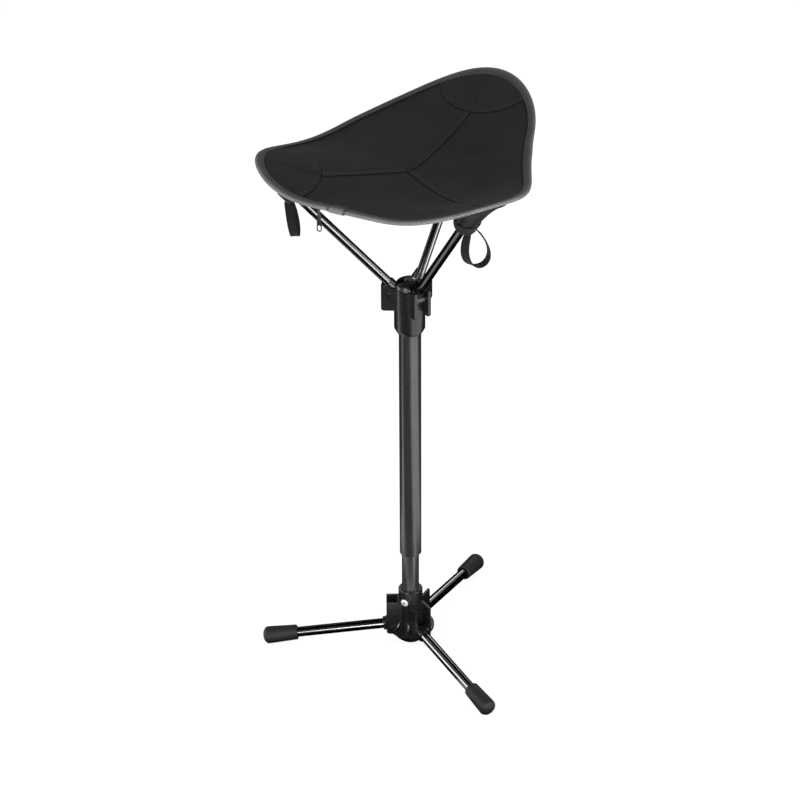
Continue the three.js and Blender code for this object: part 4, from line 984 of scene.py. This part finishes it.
def build_pocket(name):
    """A gathered cone of cloth under a corner, which holds the tip of an arm."""
    side = SIDES[name]

    def place(spot, turn):
        share = min(1.0, max(0.0, spot.z))
        gather = (4 * share * (1 - share)) ** POCKET_GATHER
        wide, fine = POCKET_FOLDS
        folds = math.sin(wide * turn + side)
        folds += POCKET_FINE_FOLDS * math.sin(fine * turn + 2.2 * side + 3 * share)
        outward = POCKET_FOLD * gather * (folds - 0.5)
        return pocket_point(name, share, turn, min(outward, POCKET_FOLD_LIMIT))

    measures = (POCKET_MAP_RADIUS, POCKET_LENGTHS[name])
    pocket = finish_tube(name, "corner_pocket", "seat_cloth", POCKET_RINGS, 1.0, place, *measures)
    thicken(pocket, POCKET_CLOTH)
    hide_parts(f"seat_pocket_{name}")
    return pocket


def build_mouth_band(name):
    """The webbing sewn round a pocket's mouth."""

    def place(spot, turn):
        return pocket_point(name, spot.z, turn, BAND_LIFT + BAND_WAVE * math.sin(3 * turn + 1) ** 2)

    measures = (POCKET_MOUTH_RADIUS, BAND_MAP_LENGTH)
    band = finish_tube(name, "pocket_band", "webbing", BAND_RINGS, BAND_SHARE, place, *measures)
    thicken(band, BAND_CLOTH)
    return band


def build_pull_loop(name):
    """A strap that hangs in a loop from a pocket's mouth."""
    side = SIDES[name]
    work = strip(*STRAP_CELLS)
    top = arm_point(name, DOME_DISTANCE - POCKET_LENGTHS[name], -POCKET_MOUTH_RADIUS - LOOP_GAP)
    top.y = LOOP_OFFSETS[name]
    sway_out, sway_across = LOOP_SWAYS[name]
    first_twist, second_twist = LOOP_TWISTS[name]

    def centre_line(share):
        swing = math.tau * share
        half = math.sin(swing / 2)
        across = LOOP_SPREADS[name] * math.sin(swing) * half + LOOP_NECKS[name] * math.cos(swing / 2)
        down = LOOP_START - LOOP_DROP * half**2
        return Vector((sway_out * half**2, across + sway_across * half**2, down))

    def place(spot):
        share = min(1.0, max(0.0, spot.x))
        here = centre_line(share)
        before, after = max(0.0, share - STRAP_AHEAD), min(1.0, share + STRAP_AHEAD)
        ahead = (centre_line(after) - centre_line(before)).normalized()
        wide = Vector((1.0, 0.0, 0.0))
        wide = (wide - ahead * wide.dot(ahead)).normalized()
        twist = (first_twist if share < 0.5 else second_twist) * math.sin(math.tau * share) ** 2
        turned = Matrix.Rotation(twist, 3, ahead) @ wide
        crown = STRAP_CROWN * (1 - (2 * spot.y) ** 2)
        spot = top + here + turned * (spot.y * STRAP_WIDTH) + ahead.cross(turned) * crown
        return Matrix.Rotation(side, 3, "Z") @ spot

    lay_map(work, lambda vert: (vert.co.x * LOOP_MAP_LENGTH, vert.co.y * STRAP_WIDTH))
    move_verts(work, place)
    loop = finish_piece(work, f"webbing_loop_{name}", "seat", "webbing")
    thicken(loop, STRAP_THICKNESS, 0.0)
    round_edges(loop, EDGE_ROUNDING, STRAP_EDGE_ANGLE)
    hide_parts(f"pull_loop_{name}")
    return loop


# Zip


def build_zip():
    """Two woven tapes under the seat's edge, with the row of teeth between them."""
    tapes = bmesh.new()
    middle = ZIP_INSET + ZIP_WIDTH / 2
    for hand in (-1, 1):
        half = strip(*ZIP_CELLS)
        first = ZIP_GAP / 2
        wide = ZIP_WIDTH / 2 - first

        def place(spot):
            turn = FIRST_SIDE + ZIP_TURN + ZIP_HALF_SPREAD * (2 * spot.x - 1)
            inset = middle + hand * (first + wide * (spot.y + 0.5))
            return sling_point(turn, rim_reach(turn) - inset, ZIP_LIFT)

        lay_map(half, lambda vert: (vert.co.x * ZIP_MAP_LENGTH, vert.co.y * wide))
        move_verts(half, place)
        mesh = bpy.data.meshes.new("half_tape")
        half.to_mesh(mesh)
        half.free()
        tapes.from_mesh(mesh)
        bpy.data.meshes.remove(mesh)
    face_up(tapes)
    tape = finish_piece(tapes, "zip_woven_tapes", "seat", "webbing")
    thicken(tape, ZIP_CLOTH)
    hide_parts("zip_tape")

    teeth = bmesh.new()
    reach = rim_reach(FIRST_SIDE + ZIP_TURN) - middle
    count = int(2 * ZIP_HALF_SPREAD * reach / TOOTH_PITCH)
    for index in range(count):
        share = (index + 0.5) / count
        turn = FIRST_SIDE + ZIP_TURN + ZIP_HALF_SPREAD * (2 * share - 1)
        hand = 1 if index % 2 else -1
        spot = sling_point(turn, rim_reach(turn) - middle - hand * TOOTH_OFFSET, ZIP_LIFT - ZIP_CLOTH / 2)
        stand = Matrix.Rotation(turn + QUARTER, 4, "Z")
        size = Matrix.Diagonal((*TOOTH_SIZE, 1.0))
        made = bmesh.ops.create_cube(teeth, size=1.0, matrix=Matrix.Translation(spot) @ stand @ size)
        edges = list({edge for vert in made["verts"] for edge in vert.link_edges})
        bmesh.ops.bevel(
            teeth,
            geom=edges,
            offset=TOOTH_ROUNDING,
            segments=1,
            profile=0.5,
            affect="EDGES",
            material=-1,
        )
    return tape, finish_piece(teeth, "zip_teeth", "seat", "zip_metal")


def build_puller():
    """The zip's puller, a little turned on its pin: a bar with a round eye, cast in one."""
    work = bmesh.new()
    rings = []
    for radius in PULLER_EYE:
        rings += bmesh.ops.create_circle(work, segments=32, radius=radius)["verts"]
    bmesh.ops.bridge_loops(work, edges=work.edges)
    for vert in rings:
        inner = math.hypot(vert.co.x, vert.co.y) < sum(PULLER_EYE) / 2
        if vert.co.y > 0 and inner:
            vert.co.y += PULLER_EYE_LENGTH
        elif vert.co.y > 0:
            narrow = step_up(vert.co.y, PULLER_NECK)
            vert.co.x *= 1 - narrow * (1 - PULLER_BAR[0] / PULLER_EYE[0])
            vert.co.y += PULLER_EYE_LENGTH + narrow * (PULLER_EYE_DROP - PULLER_EYE_LENGTH - PULLER_EYE[0])
    bmesh.ops.solidify(work, geom=work.faces, thickness=PULLER_BAR[1])
    bmesh.ops.recalc_face_normals(work, faces=work.faces)
    middle = sum(vert.co.z for vert in work.verts) / len(work.verts)
    for vert in work.verts:
        drop = vert.co.y - PULLER_EYE_DROP
        swing = PULLER_TWIST * step_up(-drop - PULLER_NECK, PULLER_TWIST_WIDTH)
        flat = Vector((vert.co.z - middle, vert.co.x, drop))
        vert.co = Matrix.Rotation(swing, 3, "Z") @ flat
    bmesh.ops.create_cone(
        work,
        cap_ends=True,
        segments=24,
        radius1=PULLER_HEAD[0],
        radius2=PULLER_HEAD[0],
        depth=PULLER_HEAD[1],
        matrix=Matrix.Rotation(QUARTER, 4, "X"),
    )
    stand = Matrix.Translation(PULLER_PIN) @ Matrix.Rotation(FIRST_SIDE + ZIP_TURN, 4, "Z")
    bmesh.ops.transform(work, matrix=stand, verts=work.verts)
    puller = finish_piece(work, "zip_pull_tab", "zip_pull", "zip_metal")
    round_edges(puller, PULLER_ROUNDING, EDGE_ANGLE)
    smooth_faces(puller)
    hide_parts("zip_puller")
    return puller


def build_rivet_hollow_shadow():
    """A dark disc in the middle of the rivet's head: painted shadow of its hollow."""
    work = bmesh.new()
    bmesh.ops.create_circle(work, cap_ends=True, segments=24, radius=RIVET_HOLLOW_SHADOW[0])
    bmesh.ops.solidify(work, geom=work.faces, thickness=RIVET_HOLLOW_SHADOW[1])
    bmesh.ops.recalc_face_normals(work, faces=work.faces)
    outwards = Matrix.Rotation(RIVET_TURN, 4, "Z")
    face = Matrix.Translation((RIVET_FACE[0], 0.0, RIVET_FACE[1]))
    bmesh.ops.transform(work, matrix=outwards @ face @ Matrix.Rotation(QUARTER, 4, "Y"), verts=work.verts)
    hollow = finish_piece(work, "rivet_hollow_shadow", "base", "hub_plastic")
    hollow.data.shade_flat()
    return hollow


# View and light


def light_path_mix(tree, seen, lighting):
    """Chooses one shader for what the camera and mirrors see, and another for what lights the object."""
    path = add_node(tree, "ShaderNodeLightPath").outputs
    looked_at = blend_values(tree, "MAXIMUM", path["Is Camera Ray"], path["Is Glossy Ray"])
    looked_at = blend_values(tree, "MAXIMUM", looked_at, path["Is Transmission Ray"])
    inputs = {0: looked_at, 1: lighting.outputs[0], 2: seen.outputs[0]}
    return add_node(tree, "ShaderNodeMixShader", inputs).outputs[0]


def set_world():
    """A white surround, which lights the stool softly."""
    world = bpy.data.worlds.new("studio")
    world.use_nodes = True
    tree = world.node_tree
    tree.nodes.clear()
    seen = add_node(tree, "ShaderNodeBackground", {"Color": grey(1.0), "Strength": 1.0})
    lighting = add_node(tree, "ShaderNodeBackground", {"Color": grey(1.0), "Strength": WORLD_LIGHT})
    add_node(tree, "ShaderNodeOutputWorld", {"Surface": light_path_mix(tree, seen, lighting)})
    bpy.context.scene.world = world


def floor_material():
    """White where the camera looks, and darker only under the stool's shadow."""
    material = bpy.data.materials.new("floor")
    material.use_nodes = True
    tree = material.node_tree
    tree.nodes.clear()
    own = add_node(tree, "ShaderNodeBsdfDiffuse", {"Color": grey(FLOOR_TONE)})
    glow = add_node(tree, "ShaderNodeEmission", {"Color": grey(1.0), "Strength": FLOOR_GLOW})
    seen = add_node(tree, "ShaderNodeAddShader", {0: own.outputs[0], 1: glow.outputs[0]})
    bounce = add_node(tree, "ShaderNodeBsdfDiffuse", {"Color": grey(FLOOR_BOUNCE)})
    add_node(tree, "ShaderNodeOutputMaterial", {"Surface": light_path_mix(tree, seen, bounce)})
    return material


def card_material():
    """Black cloth of the studio's dark cards."""
    material, tree, shader = new_material("dark_card")
    feed(tree, shader, {"Base Color": grey(0.0), "Roughness": 1.0, "Specular IOR Level": 0.0})
    return material


def add_card(name, size, place, facing, material):
    """A flat card of the studio, facing a point."""
    mesh = bpy.data.meshes.new(name)
    work = bmesh.new()
    bmesh.ops.create_grid(work, x_segments=1, y_segments=1, size=0.5)
    normal = (Vector(facing) - Vector(place)).normalized()
    turn = normal.to_track_quat("Z", "Y").to_matrix().to_4x4()
    scale = Matrix.Diagonal((size[0], size[1], 1.0, 1.0))
    bmesh.ops.transform(work, matrix=Matrix.Translation(place) @ turn @ scale, verts=work.verts)
    work.to_mesh(mesh)
    work.free()
    card = bpy.data.objects.new(name, mesh)
    mesh.materials.append(material)
    bpy.context.scene.collection.objects.link(card)
    return card


def add_dark_card(name, size, place, facing, material):
    """A card that only shows as a dark band in the glossy tubes."""
    card = add_card(name, size, place, facing, material)
    card.visible_camera = False
    card.visible_diffuse = False
    card.visible_shadow = False
    card.visible_transmission = False


def add_lamp(name, size, power, place, facing):
    """A soft rectangular lamp, facing a point."""
    data = bpy.data.lights.new(name, "AREA")
    data.shape = "RECTANGLE"
    data.size, data.size_y = size
    data.energy = power
    lamp = bpy.data.objects.new(name, data)
    lamp.location = place
    lamp.rotation_euler = (Vector(facing) - Vector(place)).to_track_quat("-Z", "Y").to_euler()
    bpy.context.scene.collection.objects.link(lamp)


def set_studio():
    """Floor, lamps and the dark cards that give the tubes their dark edges."""
    set_world()
    add_card("floor", FLOOR_SIZE, (0.0, 0.0, FLOOR_HEIGHT), (0.0, 0.0, 1.0), floor_material())
    for name, size, power, place in LAMPS:
        add_lamp(name, size, power, place, LAMPS_FACE)
    black = card_material()
    for name, size, place, facing in DARK_CARDS:
        add_dark_card(name, size, place, facing, black)


def set_camera():
    """The photo's view: a long lens from the front, looking down on the stool."""
    data = bpy.data.cameras.new("photo_view")
    data.sensor_width = CAMERA_SENSOR
    data.lens = CAMERA_LENS
    data.shift_x, data.shift_y = CAMERA_SHIFT
    data.clip_end = CAMERA_CLIP
    camera = bpy.data.objects.new("photo_view", data)
    bpy.context.scene.collection.objects.link(camera)
    camera.location = CAMERA_PLACE
    turn = Matrix.Rotation(CAMERA_TURN, 4, "Z")
    tilt = Matrix.Rotation(CAMERA_TILT, 4, "X")
    roll = Matrix.Rotation(CAMERA_ROLL, 4, "Z")
    camera.rotation_euler = (turn @ tilt @ roll).to_euler()
    bpy.context.scene.camera = camera


bpy.context.scene.view_settings.view_transform = "Standard"
dress_frame()
panel = build_seat_panel()
on_panel = [build_binding()]
for side_name in SIDES:
    seam_end, seam_edge = SEAM_ENDS[side_name]
    on_panel.append(build_patch(side_name))
    on_panel.append(build_seam("panel_seam", side_name, (0.0, 0.0), seam_end, SEAM_WIDTH, 0.0))
    over_patch = (seam_end, seam_edge, PATCH_SEAM_WIDTH, PATCH_LIFT / 2)
    on_panel.append(build_seam("patch_seam", side_name, *over_patch))
    build_pocket(side_name)
    build_mouth_band(side_name)
    build_pull_loop(side_name)
on_panel.append(build_stitches())
build_zip()
build_puller()
build_rivet_hollow_shadow()
set_studio()
set_camera()
